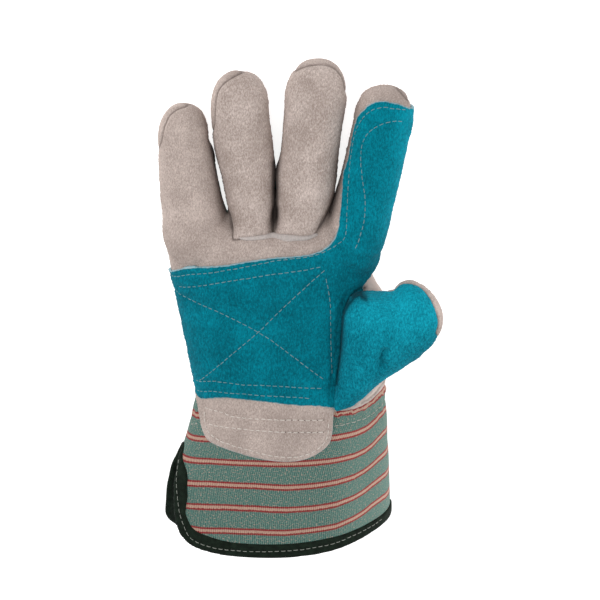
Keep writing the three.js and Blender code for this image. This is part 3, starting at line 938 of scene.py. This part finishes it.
def binding_width(points):
    """How far the tape reaches onto the cloth: it narrows up the slit and a little on the right."""
    left = np.interp(points[:, 1], *zip(*BINDING_LEFT))
    right = np.interp(points[:, 0], *zip(*BINDING_RIGHT))
    return left + (right - left) * ramp(points[:, 0], -58, 24)


# Sheets and threads that lie on other pieces

def ground(*skins):
    """What can be laid on: each skin's search tree."""
    return [search_tree(skin) for skin in skins]


def drop(x, y, trees):
    """The highest spot of the ground at a place seen from above, and its normal."""
    best = None
    for tree in trees:
        spot, normal, _, _ = tree.ray_cast(Vector((x, y, 120)), Vector((0, 0, -1)))
        if spot is not None and (best is None or spot.z > best[0].z):
            best = (spot, normal)
    return best


def height_at(x, y, trees):
    hit = drop(x, y, trees)
    return 0.0 if hit is None else hit[0].z


def draped(outline, trees, spacing):
    """A sheet cut to an outline seen from above and laid on the ground."""
    line = np.array(outline)
    xs = np.arange(line[:, 0].min() - 2, line[:, 0].max() + 2, spacing)
    ys = np.arange(line[:, 1].min() - 2, line[:, 1].max() + 2, spacing)
    heights = np.array([[height_at(x, y, trees) for x in xs] for y in ys])
    for _ in range(6):
        padded = np.pad(heights, 1, mode="edge")
        beside = padded[:-2, 1:-1] + padded[2:, 1:-1] + padded[1:-1, :-2] + padded[1:-1, 2:]
        heights = (4 * heights + beside) / 8
    grid_x, grid_y = np.meshgrid(xs, ys)
    index = np.arange(len(xs) * len(ys)).reshape(len(ys), len(xs))
    points = np.stack([grid_x, grid_y, heights], axis=-1).reshape(-1, 3)
    sheet = Skin(points, strips(index[:, :-1], index[:, 1:]))
    return cut(sheet, within_curve(outline, sheet.points))


def laid(line, trees, spacing=0.6):
    """A line seen from above, laid on the ground: its points and normals."""
    line = evenly(curved(line, 6), spacing)
    found = [drop(x, y, trees) for x, y in line]
    found = [hit for hit in found if hit is not None]
    points = np.array([hit[0] for hit in found])
    normals = np.array([hit[1] for hit in found])
    for _ in range(3):
        padded = np.concatenate([normals[:1], normals, normals[-1:]])
        normals = padded[:-2] + 2 * padded[1:-1] + padded[2:]
        normals /= np.linalg.norm(normals, axis=1, keepdims=True)
    return points, normals


def walked(line):
    """How far along a line each of its points lies."""
    return np.concatenate([[0], np.linalg.norm(np.diff(line, axis=0), axis=1).cumsum()])


def values_at(at, step, values):
    """The values along a line, at other places on it."""
    return np.stack([np.interp(at, step, column) for column in values.T], axis=-1)


def evenly(line, spacing):
    """The same line with points at an even spacing."""
    step = walked(line)
    return values_at(np.linspace(0, step[-1], max(int(step[-1] / spacing), 2)), step, line)


def stitches(points, normals, length=2.5, radius=0.25, lift=0.2, sides=6):
    """A row of sewn threads: each rises out of its needle hole and dips into the next."""
    step = walked(points)
    share = np.array([0, 0.08, 0.25, 0.5, 0.75, 0.92, 1.0])
    height = np.array([-0.5, -0.1, 0.75, 1.0, 0.75, -0.1, -0.5]) * lift
    width = np.array([0.7, 0.95, 1.0, 1.0, 1.0, 0.95, 0.7]) * radius
    angle = around_circle(sides)[:, None]
    index = np.arange(len(share) * sides).reshape(len(share), sides)
    caps = [(0, k + 1, k) for k in range(1, sides - 1)]
    caps += [(index[-1, 0], index[-1, k], index[-1, k + 1]) for k in range(1, sides - 1)]
    faces = np.concatenate([strips(index, np.roll(index, -1, axis=1)), np.array(caps)])
    found = []
    for number in range(int(step[-1] / STITCH_PITCH)):
        start = STITCH_PITCH * number + rng.uniform(0, 0.25)
        at = start + share * (length + rng.uniform(-0.25, 0.15))
        centre, normal = values_at(at, step, points), values_at(at, step, normals)
        along = np.gradient(centre, axis=0)
        along /= np.maximum(np.linalg.norm(along, axis=1, keepdims=True), 1e-9)
        side = np.cross(along, normal)
        side /= np.maximum(np.linalg.norm(side, axis=1, keepdims=True), 1e-9)
        centre = centre + normal * height[:, None] + side * rng.uniform(-0.1, 0.1)
        section = side[:, None] * np.cos(angle) + normal[:, None] * np.sin(angle) * 0.8
        ring = centre[:, None] + width[:, None, None] * section
        found.append(Skin(ring.reshape(-1, 3), faces))
    return joined(found)


def needle_holes(points, normals, radius=0.32, sides=8):
    """Painted shade: the dark mouths of the needle holes between the stitches, as shallow domed dots."""
    step = walked(points)
    angle = around_circle(sides)
    rim = np.stack([np.cos(angle), np.sin(angle), 0 * angle], axis=1) * radius
    shape = np.concatenate([rim + [0, 0, 0.06], [[0, 0, 0.1]], [[0, 0, -0.3]]])
    dome = [(k, (k + 1) % sides, sides) for k in range(sides)]
    foot = [((k + 1) % sides, k, sides + 1) for k in range(sides)]
    found = []
    for at in np.arange(STITCH_PITCH * 0.86, step[-1], STITCH_PITCH):
        normal = Vector(values_at(at, step, normals))
        turn = np.array(normal.to_track_quat("Z", "Y").to_matrix())
        found.append(Skin(shape @ turn.T + values_at(at, step, points), np.array(dome + foot)))
    return joined(found)


# Relief of the palm patch

def nearest_row(rows, points):
    """The distance of each point from the nearest of some rows of stitches."""
    return np.min([off_curve(row, points) for row in rows], axis=0)


def patch_relief(points, off_thumb):
    """Furrows along the patch's stitches, soft swells between them, and the nap."""
    rows = nearest_row(PATCH_ROWS, points)
    push = groove(rows, 0.5, 0.85) + 0.5 * (1 - bell(rows, 6))
    push += groove(np.maximum(off_thumb - PATCH, 0), 1.0, 1.6)
    for line, depth, width in PATCH_FOLDS:
        push += groove(off_curve(line, points), depth, width)
    push += 0.18 * waviness(points, FINE_NAP) + 0.35 * waviness(points + 90, 8.0) + tufts(points)
    return push


# Painted shade, and the tone and painted light of the leather, as shares that its material reads

def seam_shade(part):
    """Painted shade: the dark line in a seam, and the shade between the fingers, in the wrist's tuck, in
    the thumb's dimple, along the thumb's root and in the fold below the index finger."""
    points, height = part.points, part.points[:, 2]
    shade = 0.6 * bell(part.values["inside"], 0.45)
    for line, deep, width, soft, reach in CLEFT_SHADES:
        off = off_line(line, points)
        cleft = deep * bell(off, width) + soft * bell(off, reach)
        shade = np.maximum(shade, cleft * ramp(height, 34, -8))
    tuck = 0.6 * bell(off_line(HEM_TUCK, points), 0.6) * (height < 38)
    dimple = 0.3 * bell(off_line(THUMB_DIMPLE, points), 3.0) * (height > 38)
    off = off_line(THUMB_ROOT, points)
    root = (0.5 * bell(off, 2.0) + 0.7 * bell(off, 0.6)) * (height > 24)
    fold = 0.22 * bell(off_line(INDEX_FOLD, points), 1.6) * (height > 18)
    return np.max([shade, tuck, dimple, root, fold], axis=0)


def palm_tone_and_painted_light(points):
    """Painted light: the leather is palest between the index finger and the thumb, where nothing shades
    it. It is also pale above the cuff's right end, and a little lighter up the little finger."""
    x, y, _ = points.T
    web = 0.5 * ramp(x, 34, 4) * ramp(y, -2, 5) * ramp(y, 26, -6)
    hem = 0.3 * ramp(x, 18, 8) * ramp(y, -46, -6)
    return web + hem + 0.05 * ramp(x, -40, -8) * ramp(y, 30, 30)


def thumb_tone(points):
    """The thumb's leather is lightest towards its tip."""
    return 0.12 * ramp(points[:, 1], -18, 18) - 0.03


def patch_tone_and_painted_light(points):
    """Painted light on the index finger's outer side, which is drawn lighter. The patch is also lighter up
    the index finger and darker across the palm.
    """
    finger = ramp(points[:, 1], 25, 15)
    outer = ramp(points[:, 0], 44, 12) * finger
    return -0.03 + 0.06 * finger + 0.14 * outer


# Materials. Patterns on the surface have places in metres, so a scale of 1000 / size gives them features
# of that size in millimetres, and patterns in the weave have places in millimetres

def linear(colour):
    """An sRGB hex colour as linear red, green, blue and alpha."""
    channels = [int(colour[k:k + 2], 16) / 255 for k in (1, 3, 5)]
    return (*(c / 12.92 if c <= 0.04045 else ((c + 0.055) / 1.055) ** 2.4 for c in channels), 1.0)


def add(tree, kind, inputs=None, output=0, **settings):
    """Adds a shader node with its settings, sets or links its inputs, and gives the output asked for. The
    colour mix has its share as input 0, its colours as 6 and 7, and gives them mixed as output 2."""
    node = tree.nodes.new("ShaderNode" + kind)
    for key, value in settings.items():
        setattr(node, key, value)
    for key, value in (inputs or {}).items():
        if isinstance(value, bpy.types.NodeSocket):
            tree.links.new(value, node.inputs[key])
        else:
            node.inputs[key].default_value = value
    return node.outputs[output]


def new_material(name, **surface):
    """A material whose shader has these even values."""
    material = bpy.data.materials.new(name)
    material.use_nodes = True
    shader = material.node_tree.nodes["Principled BSDF"]
    for key, value in surface.items():
        shader.inputs[key.replace("_", " ")].default_value = value
    return material, material.node_tree, shader


def split_leather(name, dark, light, raw, tuft, spread):
    """Cowhide split, buffed to a nap: a dull felt of short tufts, brushed along the glove and rubbed
    lighter in clouds, without gloss, and pale where it was cut. Painted shade darkens its seams, creases
    and clefts, and each piece adds its own tone and painted light. Given are the colours between and on
    the tufts and of the cut edge, the tufts' size, and how evenly their tones mix."""
    material, tree, shader = new_material(
        name, Roughness=0.95, IOR=1.45, Specular_IOR_Level=0.06, Sheen_Weight=0.02, Sheen_Roughness=0.5,
    )
    place = add(tree, "TexCoord", output="Object")
    # Real tufts are about 0.4 mm wide; they are drawn up to about twice as wide, to show at all
    combed = add(tree, "Mapping", {"Vector": place, "Scale": (1000 / tuft, 480 / tuft, 1000 / tuft)})
    nap = add(tree, "TexNoise", {"Vector": combed, "Scale": 1.0, "Detail": 3.0, "Roughness": 0.8})
    clouds = add(tree, "TexNoise", {"Vector": place, "Scale": 1000 / 15, "Detail": 2.0})
    worn = add(tree, "Attribute", output="Fac", attribute_name="worn")
    tone = add(tree, "Math", {0: clouds, 1: 0.35, 2: nap}, operation="MULTIPLY_ADD")
    # Painted light and the piece's own tone, as a share added to the tone
    tone = add(tree, "Math", {0: tone, 1: worn}, operation="ADD")
    middle = 0.675   # mean of the nap and its share of the clouds
    span = {"From Min": middle - spread, "From Max": middle + spread}
    tone = add(tree, "MapRange", {"Value": tone, **span})
    tone = add(tree, "Math", {0: tone, 1: 1.5}, operation="POWER")
    colour = add(tree, "Mix", {0: tone, 6: linear(dark), 7: linear(light)}, 2, data_type="RGBA")
    crease = add(tree, "Attribute", output="Fac", attribute_name="crease")
    crease = add(tree, "MapRange", {"Value": crease, "From Max": 1.1, "To Max": 0.88})
    # Painted shade: a dark colour mixed in along seams, creases and clefts
    seam = tuple(0.25 * value for value in linear(dark)[:3]) + (1.0,)
    colour = add(tree, "Mix", {0: crease, 6: colour, 7: seam}, 2, data_type="RGBA")
    edge = add(tree, "Attribute", output="Fac", attribute_name="raw")
    edge = add(tree, "MapRange", {"Value": edge, "From Min": 0.3, "From Max": 0.8, "To Max": 0.85})
    colour = add(tree, "Mix", {0: edge, 6: colour, 7: linear(raw)}, 2, data_type="RGBA")
    tree.links.new(colour, shader.inputs["Base Color"])
    relief = add(tree, "Bump", {"Strength": 0.6, "Distance": 0.0005, "Height": nap}, "Normal")
    tree.links.new(relief, shader.inputs["Normal"])
    return material


def striped_cotton():
    """Woven cotton ticking: a green ground of fine ribs with pink slubs, and cream stripes between red
    ones whose edges step from thread to thread. Each piece adds its own tone and painted light, such as
    painted light on the cuff's right side."""
    material, tree, shader = new_material(
        "striped_cotton", Roughness=0.9, IOR=1.5, Specular_IOR_Level=0.2, Sheen_Weight=0.08,
        Sheen_Roughness=0.4,
    )
    around = add(tree, "Attribute", output="Fac", attribute_name="around")
    along = add(tree, "Attribute", output="Fac", attribute_name="along")
    weave = add(tree, "CombineXYZ", {"X": around, "Y": along})
    # Threads lie 0.5 mm apart; their ribs are drawn 1.1 mm apart, which is two of the photograph's pixels
    yarn = add(tree, "Mapping", {"Vector": weave, "Scale": (1.5, 1.1, 1.0)})
    yarn = add(tree, "TexNoise", {"Vector": yarn, "Scale": 1.0, "Detail": 4.0, "Roughness": 0.75})
    rib_pitch = 1.1
    ribs = add(tree, "Math", {0: around, 1: 2 * math.pi / rib_pitch}, operation="MULTIPLY")
    ribs = add(tree, "Math", {0: ribs}, operation="SINE")
    ribs = add(tree, "Math", {0: ribs, 1: 0.15, 2: yarn}, operation="MULTIPLY_ADD")
    # Painted light and the piece's own tone, as a share that lightens the cloth
    painted_light_and_tone = add(tree, "Attribute", output="Fac", attribute_name="worn")
    tone = add(tree, "Math", {0: ribs, 1: painted_light_and_tone}, operation="ADD")
    tone = add(tree, "MapRange", {"Value": tone, "From Min": 0.3, "From Max": 0.7, "To Max": 1.15})
    green = add(tree, "Mix", {0: tone, 6: linear("#294e48"), 7: linear("#608077")}, 2, data_type="RGBA")
    red = add(tree, "Mix", {0: tone, 6: linear("#5a1218"), 7: linear("#953b3b")}, 2, data_type="RGBA")
    cream = add(tree, "Mix", {0: tone, 6: linear("#88685b"), 7: linear("#be9d8b")}, 2, data_type="RGBA")
    slubs = add(tree, "Mapping", {"Vector": weave, "Scale": (0.9, 1.4, 1.0)})
    slubs = add(tree, "TexNoise", {"Vector": slubs, "Scale": 1.0, "Detail": 3.0, "Roughness": 0.7})
    slubs = add(tree, "MapRange", {"Value": slubs, "From Min": 0.55, "From Max": 0.66, "To Max": 0.8})
    colour = add(tree, "Mix", {0: slubs, 6: green, 7: linear("#c2a294")}, 2, data_type="RGBA")
    jag = 1.5   # how far the yarn's noise, 0.5 on average, moves a stripe's edge
    jagged = add(tree, "Math", {0: yarn, 1: jag, 2: along}, operation="MULTIPLY_ADD")
    jagged = add(tree, "Math", {0: jagged, 1: STRIPE_Y + jag / 2}, operation="SUBTRACT")
    off = add(tree, "Math", {0: jagged, 1: STRIPE_PITCH / 2, 2: -STRIPE_PITCH / 2}, operation="WRAP")
    off = add(tree, "Math", {0: off}, operation="ABSOLUTE")
    for outer, inner, yarns in ((2.05, 1.65, red), (0.95, 0.65, cream)):
        band = add(tree, "MapRange", {"Value": off, "From Min": outer, "From Max": inner})
        colour = add(tree, "Mix", {0: band, 6: colour, 7: yarns}, 2, data_type="RGBA")
    tree.links.new(colour, shader.inputs["Base Color"])
    relief = add(tree, "Bump", {"Strength": 0.5, "Distance": 0.0003, "Height": ribs}, "Normal")
    tree.links.new(relief, shader.inputs["Normal"])
    return material


def binding_tape():
    """Cotton twill tape dyed a green near black: fine slanting ribs that hold a little light."""
    material, tree, shader = new_material(
        "twill_binding_tape", Roughness=0.9, IOR=1.5, Specular_IOR_Level=0.12, Sheen_Weight=0.02,
    )
    around = add(tree, "Attribute", output="Fac", attribute_name="around")
    along = add(tree, "Attribute", output="Fac", attribute_name="along")
    # Twill ribs lie 0.5 mm apart; they are drawn 1 mm apart, to show at all
    slant = add(tree, "Math", {0: around, 1: along}, operation="ADD")
    slant = add(tree, "Math", {0: slant, 1: 2 * math.pi}, operation="MULTIPLY")
    slant = add(tree, "Math", {0: slant}, operation="SINE")
    place = add(tree, "TexCoord", output="Object")
    tone_shares = add(tree, "TexNoise", {"Vector": place, "Scale": 1000 / 2.5, "Detail": 4.0})
    ribs = add(tree, "Math", {0: slant, 1: 0.12, 2: tone_shares}, operation="MULTIPLY_ADD")
    tone = add(tree, "MapRange", {"Value": ribs, "From Min": 0.25, "From Max": 0.75})
    colour = add(tree, "Mix", {0: tone, 6: linear("#080e09"), 7: linear("#1a271d")}, 2, data_type="RGBA")
    tree.links.new(colour, shader.inputs["Base Color"])
    relief = add(tree, "Bump", {"Strength": 0.4, "Distance": 0.0003, "Height": ribs}, "Normal")
    tree.links.new(relief, shader.inputs["Normal"])
    return material


def sewing_thread(name, dark, light):
    """Spun cotton thread: dull, with plies that show light and dark along each stitch."""
    material, tree, shader = new_material(name, Roughness=0.85, IOR=1.5, Specular_IOR_Level=0.2)
    place = add(tree, "TexCoord", output="Object")
    plies = add(tree, "TexNoise", {"Vector": place, "Scale": 1000 / 1.6, "Detail": 3.0})
    colour = add(tree, "Mix", {0: plies, 6: linear(dark), 7: linear(light)}, 2, data_type="RGBA")
    tree.links.new(colour, shader.inputs["Base Color"])
    return material


# The palm's leather, the coarser one on two fingers, the patch's dyed one and the thumb's lighter one
palm_grey = split_leather("grey_split_leather", "#92847d", "#d1c1b9", "#c3c3c4", 0.62, 0.23)
front_grey = split_leather("coarse_grey_split_leather", "#94857d", "#dccdc6", "#c3c3c4", 0.7, 0.23)
teal = split_leather("teal_split_leather", "#004f5d", "#049ab0", "#a3c0c7", 0.85, 0.3)
lighter_teal = split_leather("lighter_teal_split_leather", "#00596a", "#14a9c0", "#a3c0c7", 0.85, 0.25)
cotton = striped_cotton()
tape = binding_tape()
# One undyed thread: as it is, bleached on the tongue, covered by teal nap, and in painted shade on the
# tape. The last is no thread but painted shade in the needle's holes
thread = sewing_thread("undyed_cotton_thread", "#958b84", "#d3ccc3")
pale_thread = sewing_thread("bleached_cotton_thread", "#b8afa7", "#ebe5de")
napped_thread = sewing_thread("cotton_thread_under_teal_nap", "#3f6e76", "#93adb0")
shaded_thread = sewing_thread("cotton_thread_on_the_tape", "#6a6f69", "#a5a79e")
shadow = sewing_thread("shade_in_the_needle_holes", "#443a34", "#63574f")


# Building the pieces

def show(name, skin, material, slot, *nodes):
    """Makes the piece itself, in metres, and hides the solids it replaces."""
    mesh = bpy.data.meshes.new(name)
    points = (skin.points + FRAME_SHIFT) / 1000
    mesh.vertices.add(len(points))
    mesh.vertices.foreach_set("co", points.ravel())
    count = len(skin.faces)
    mesh.loops.add(count * 3)
    mesh.loops.foreach_set("vertex_index", skin.faces.ravel().astype(np.int32))
    mesh.polygons.add(count)
    mesh.polygons.foreach_set("loop_start", np.arange(count, dtype=np.int32) * 3)
    mesh.polygons.foreach_set("use_smooth", np.ones(count, bool))
    mesh.update(calc_edges=True)
    mesh.validate()
    for value_name, value in skin.values.items():
        if value_name != "inside":
            attribute = mesh.attributes.new(value_name, "FLOAT", "POINT")
            attribute.data.foreach_set("value", value.astype(np.float32))
    piece = placed(name, mesh)
    mesh.materials.append(material)
    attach(piece, "root")
    for node in nodes:
        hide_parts(node)


def show_cut(name, part, tone_shares, material, slot):
    """Shows one cut piece of the hand or the thumb, with painted shade in its seams and clefts, its tone
    and painted light from the function given, and its edges rounded off.
    """
    part = part.noted(crease=seam_shade(part), worn=tone_shares(part.points))
    sunk = -0.8 * rounded_off(part.values["inside"], CUT_EDGE)
    show(f"{name}_skin", thick(part, sunk, WALL), material, slot, name)


def show_threads(name, rows, material):
    show(name, joined(rows), material, "striped_cotton")


def with_raw_edge(skin, width=CUT_EDGE):
    """Notes how pale the leather is near its cut edge."""
    return skin.noted(raw=1 - ramp(skin.values["inside"], 0, width))


def cloth_places(skin):
    """Gives the hand's cloth its place in the weave."""
    return skin.noted(around=skin.points[:, 0] + skin.points[:, 2] * 0.5, along=weft_place(skin.points))


def hand_pieces(hand, fields, off_thumb):
    """The palm leather, the finger fronts, the fingertips and the cotton back."""
    for name, field in fields.items():
        part = cut(hand, np.minimum(field, off_thumb + TUCK))
        if name == "back_fabric":
            show_cut(name, cloth_places(part), palm_tone_and_painted_light, cotton, "striped_cotton")
        else:
            show_cut(name, part, palm_tone_and_painted_light, front_grey if "_front" in name else palm_grey, "grey_leather")


def thumb_pieces(thumb):
    """The thumb's teal front and its grey back, cut off where they run into the hand."""
    off_hand = outside_of(hand_skin(2.0, 2), thumb.points)
    rise = above_thumb_seam(thumb.points)
    thumb = thumb.pushed(thumb_relief(thumb.points, rise, off_hand))
    for name, field, material, slot in (
        ("thumb_front", rise, lighter_teal, "teal_leather"),
        ("thumb_back", -rise, palm_grey, "grey_leather"),
    ):
        show_cut(name, cut(thumb, np.minimum(field, off_hand + TUCK)), thumb_tone, material, slot)


def patch_piece(smooth, above, off_thumb):
    """The teal second layer on the hand, with a frayed edge. Gives its upper surface."""
    lifted = smooth.points + smooth.normals * PATCH
    frayed = 0.3 * waviness(lifted + 12, 2.2) + 0.2 * waviness(lifted + 5, 1.1)
    edge = np.minimum(within_curve(PATCH_EDGE, lifted) + frayed, above)
    patch = cut(smooth.noted(off_thumb=off_thumb), np.minimum(edge, off_thumb + TUCK))
    relief = patch_relief(patch.points, patch.values.pop("off_thumb"))
    patch = with_raw_edge(patch).noted(worn=patch_tone_and_painted_light(patch.points), crease=seam_shade(patch))
    top = PATCH + relief - rounded_off(patch.values["inside"], 1.0)
    show("palm_patch_skin", thick(patch, top, -0.1), teal, "teal_leather", "palm_patch")
    return patch.pushed(top)


def cuff_pieces(cuff):
    """The striped cuff, the tape folded round its edge, and the tape's stitches."""
    edge = from_cuff_edge(cuff.points)
    inside = away_from(zero_line(cuff, edge), cuff.points) * np.sign(edge)
    # Painted light: the cuff's cloth is drawn lighter towards its right side
    cuff = cuff.noted(worn=0.19 * ramp(cuff.points[:, 0], 12, 26))
    show("cuff_skin", thick(cut(cuff, inside), 0, WALL), cotton, "striped_cotton", "cuff")
    left = binding_width(cuff.points) - inside
    tucked = SLIT_TOP_Y - cuff.points[:, 1]
    band = cut(cuff.noted(edge=inside, left=left), np.min([inside + FOLD, left, tucked], axis=0))
    at_edge, left = band.values.pop("edge"), band.values.pop("left")
    bend = 1.7   # radius of the tape's fold
    turn = np.sqrt(1 - (1 - np.clip((at_edge + FOLD) / bend, 0, 1)) ** 2)
    sewn = rounded_off(np.minimum(left, SLIT_TOP_Y - band.points[:, 1]), CUT_EDGE)
    over = -WALL / 2 + (TAPE + WALL / 2) * turn - sewn
    under = WALL / 2 + (TAPE + WALL / 2) * turn - sewn
    show("cuff_binding_skin", thick(band, over, under), tape, "binding_tape", "cuff_binding")
    row = stitches(*laid(BINDING_ROW, ground(band.pushed(over))), radius=0.2)
    show_threads("binding_threads", [row], shaded_thread)


def vein_piece(hand, cuff):
    """The grey tongue, draped over the palm's lower edge and the cuff. Gives its upper surface."""
    vein = with_raw_edge(draped(VEIN_EDGE, ground(hand, cuff), 0.8), 0.45)
    nap = 0.12 * waviness(vein.points, 1.8) + 0.25 * waviness(vein.points + 30, 8.0)
    sewn = groove(nearest_row(VEIN_ROWS, vein.points), 0.45, 0.75)
    top = VEIN + nap + sewn - rounded_off(vein.values["inside"], CUT_EDGE)
    show("vein_patch_skin", thick(vein, top, -0.1), palm_grey, "grey_leather", "vein_patch")
    return vein.pushed(top)


def welt_piece(smooth):
    """The strip in the seam at the base of the ring and middle fingers."""
    welt = cut(smooth, within_curve(WELT_EDGE, smooth.points))
    welt = welt.noted(raw=np.full(len(welt.points), 0.5))
    over = 0.6 - rounded_off(welt.values["inside"], 0.7)
    show("finger_base_welt_skin", thick(welt, over, 1.0), palm_grey, "grey_leather", "finger_base_welt")


def sewn_rows(patch_top, vein_top, cuff):
    """The rows of stitches on the patch, on the tongue and across the wrist."""
    on_patch, on_vein, on_cuff = ground(patch_top), ground(vein_top), ground(cuff)
    rows = [stitches(*laid(row, on_patch), radius=0.22, lift=0.14) for row in PATCH_ROWS]
    show_threads("patch_threads", rows, napped_thread)
    rows = [stitches(*laid(row, on_vein), lift=0.3) for row in VEIN_ROWS]
    show_threads("vein_threads", rows, pale_thread)
    show_threads("vein_needle_holes", [needle_holes(*laid(row, on_vein)) for row in NEEDLE_ROWS], shadow)
    rows = [stitches(*laid(row, on_cuff), length=2.7, radius=0.2) for row in (WRIST_ROW, WRIST_ROW_LEFT)]
    show_threads("wrist_threads", rows, thread)


def build():
    """Makes every piece. The nap and the stitches share one run of random numbers, so the order counts."""
    formed = hand_skin(GRAIN, 6)
    thumb = thumb_skin()
    above = above_seam(formed.points)
    smooth = settled(formed.moved(formed.points - np.outer(gap_drop(formed.points), (0, 0, 1))))
    off_thumb = outside_of(thumb, smooth.points)
    hand = smooth.pushed(hand_relief(smooth.points, above, off_thumb))
    hand_pieces(hand, hand_fields(smooth.points, above), off_thumb)
    thumb_pieces(thumb)
    patch_top = patch_piece(smooth, above, off_thumb)
    cuff = cuff_skin()
    cuff_pieces(cuff)
    vein_top = vein_piece(hand, cuff)
    welt_piece(smooth)
    sewn_rows(patch_top, vein_top, cuff)


build()


# Stage

def stage():
    """A pale floor that gives a little light of its own, as the photograph's white ground does."""
    half = 2
    mesh = bpy.data.meshes.new("floor")
    corners = [(-half, -half, 0), (half, -half, 0), (half, half, 0), (-half, half, 0)]
    mesh.from_pydata(corners, [], [(0, 1, 2, 3)])
    floor = placed("floor", mesh)
    material, _, shader = new_material("pale_lit_floor", Roughness=0.9, Emission_Strength=0.75)
    shader.inputs["Base Color"].default_value = linear("#e0e0e0")
    shader.inputs["Emission Color"].default_value = (1, 1, 1, 1)
    mesh.materials.append(material)


def lamp(name, place, size, energy):
    """A square lamp of that size in metres, aimed at the glove."""
    light = bpy.data.lights.new(name, "AREA")
    light.size = size
    light.energy = energy
    thing = placed(name, light)
    thing.location = place
    thing.rotation_euler = (-Vector(place)).to_track_quat("-Z", "Y").to_euler()


def camera():
    """Looks at the palm from 20 degrees beyond the fingertips, as the photograph does."""
    tilt = math.radians(20)
    target = Vector((0, 0.0037, 0.025))
    distance = 1.1
    data = bpy.data.cameras.new("camera")
    data.lens = 121.1
    thing = placed("camera", data)
    thing.location = target + distance * Vector((0, math.sin(tilt), math.cos(tilt)))
    thing.rotation_euler = (-tilt, 0, 0)
    bpy.context.scene.camera = thing


def surroundings():
    """An even white sky, and colours shown as they are."""
    world = bpy.context.scene.world or bpy.data.worlds.new("world")
    bpy.context.scene.world = world
    world.use_nodes = True
    background = world.node_tree.nodes["Background"]
    background.inputs["Color"].default_value = (1, 1, 1, 1)
    background.inputs["Strength"].default_value = 0.4
    bpy.context.scene.view_settings.view_transform = "Standard"


stage()
lamp("key", (-0.9, 0.5, 0.9), 0.8, 10)
lamp("fill", (1.0, -0.3, 0.5), 0.9, 7)
lamp("top", (-0.1, 0.5, 1.3), 0.7, 3.5)
camera()
surroundings()
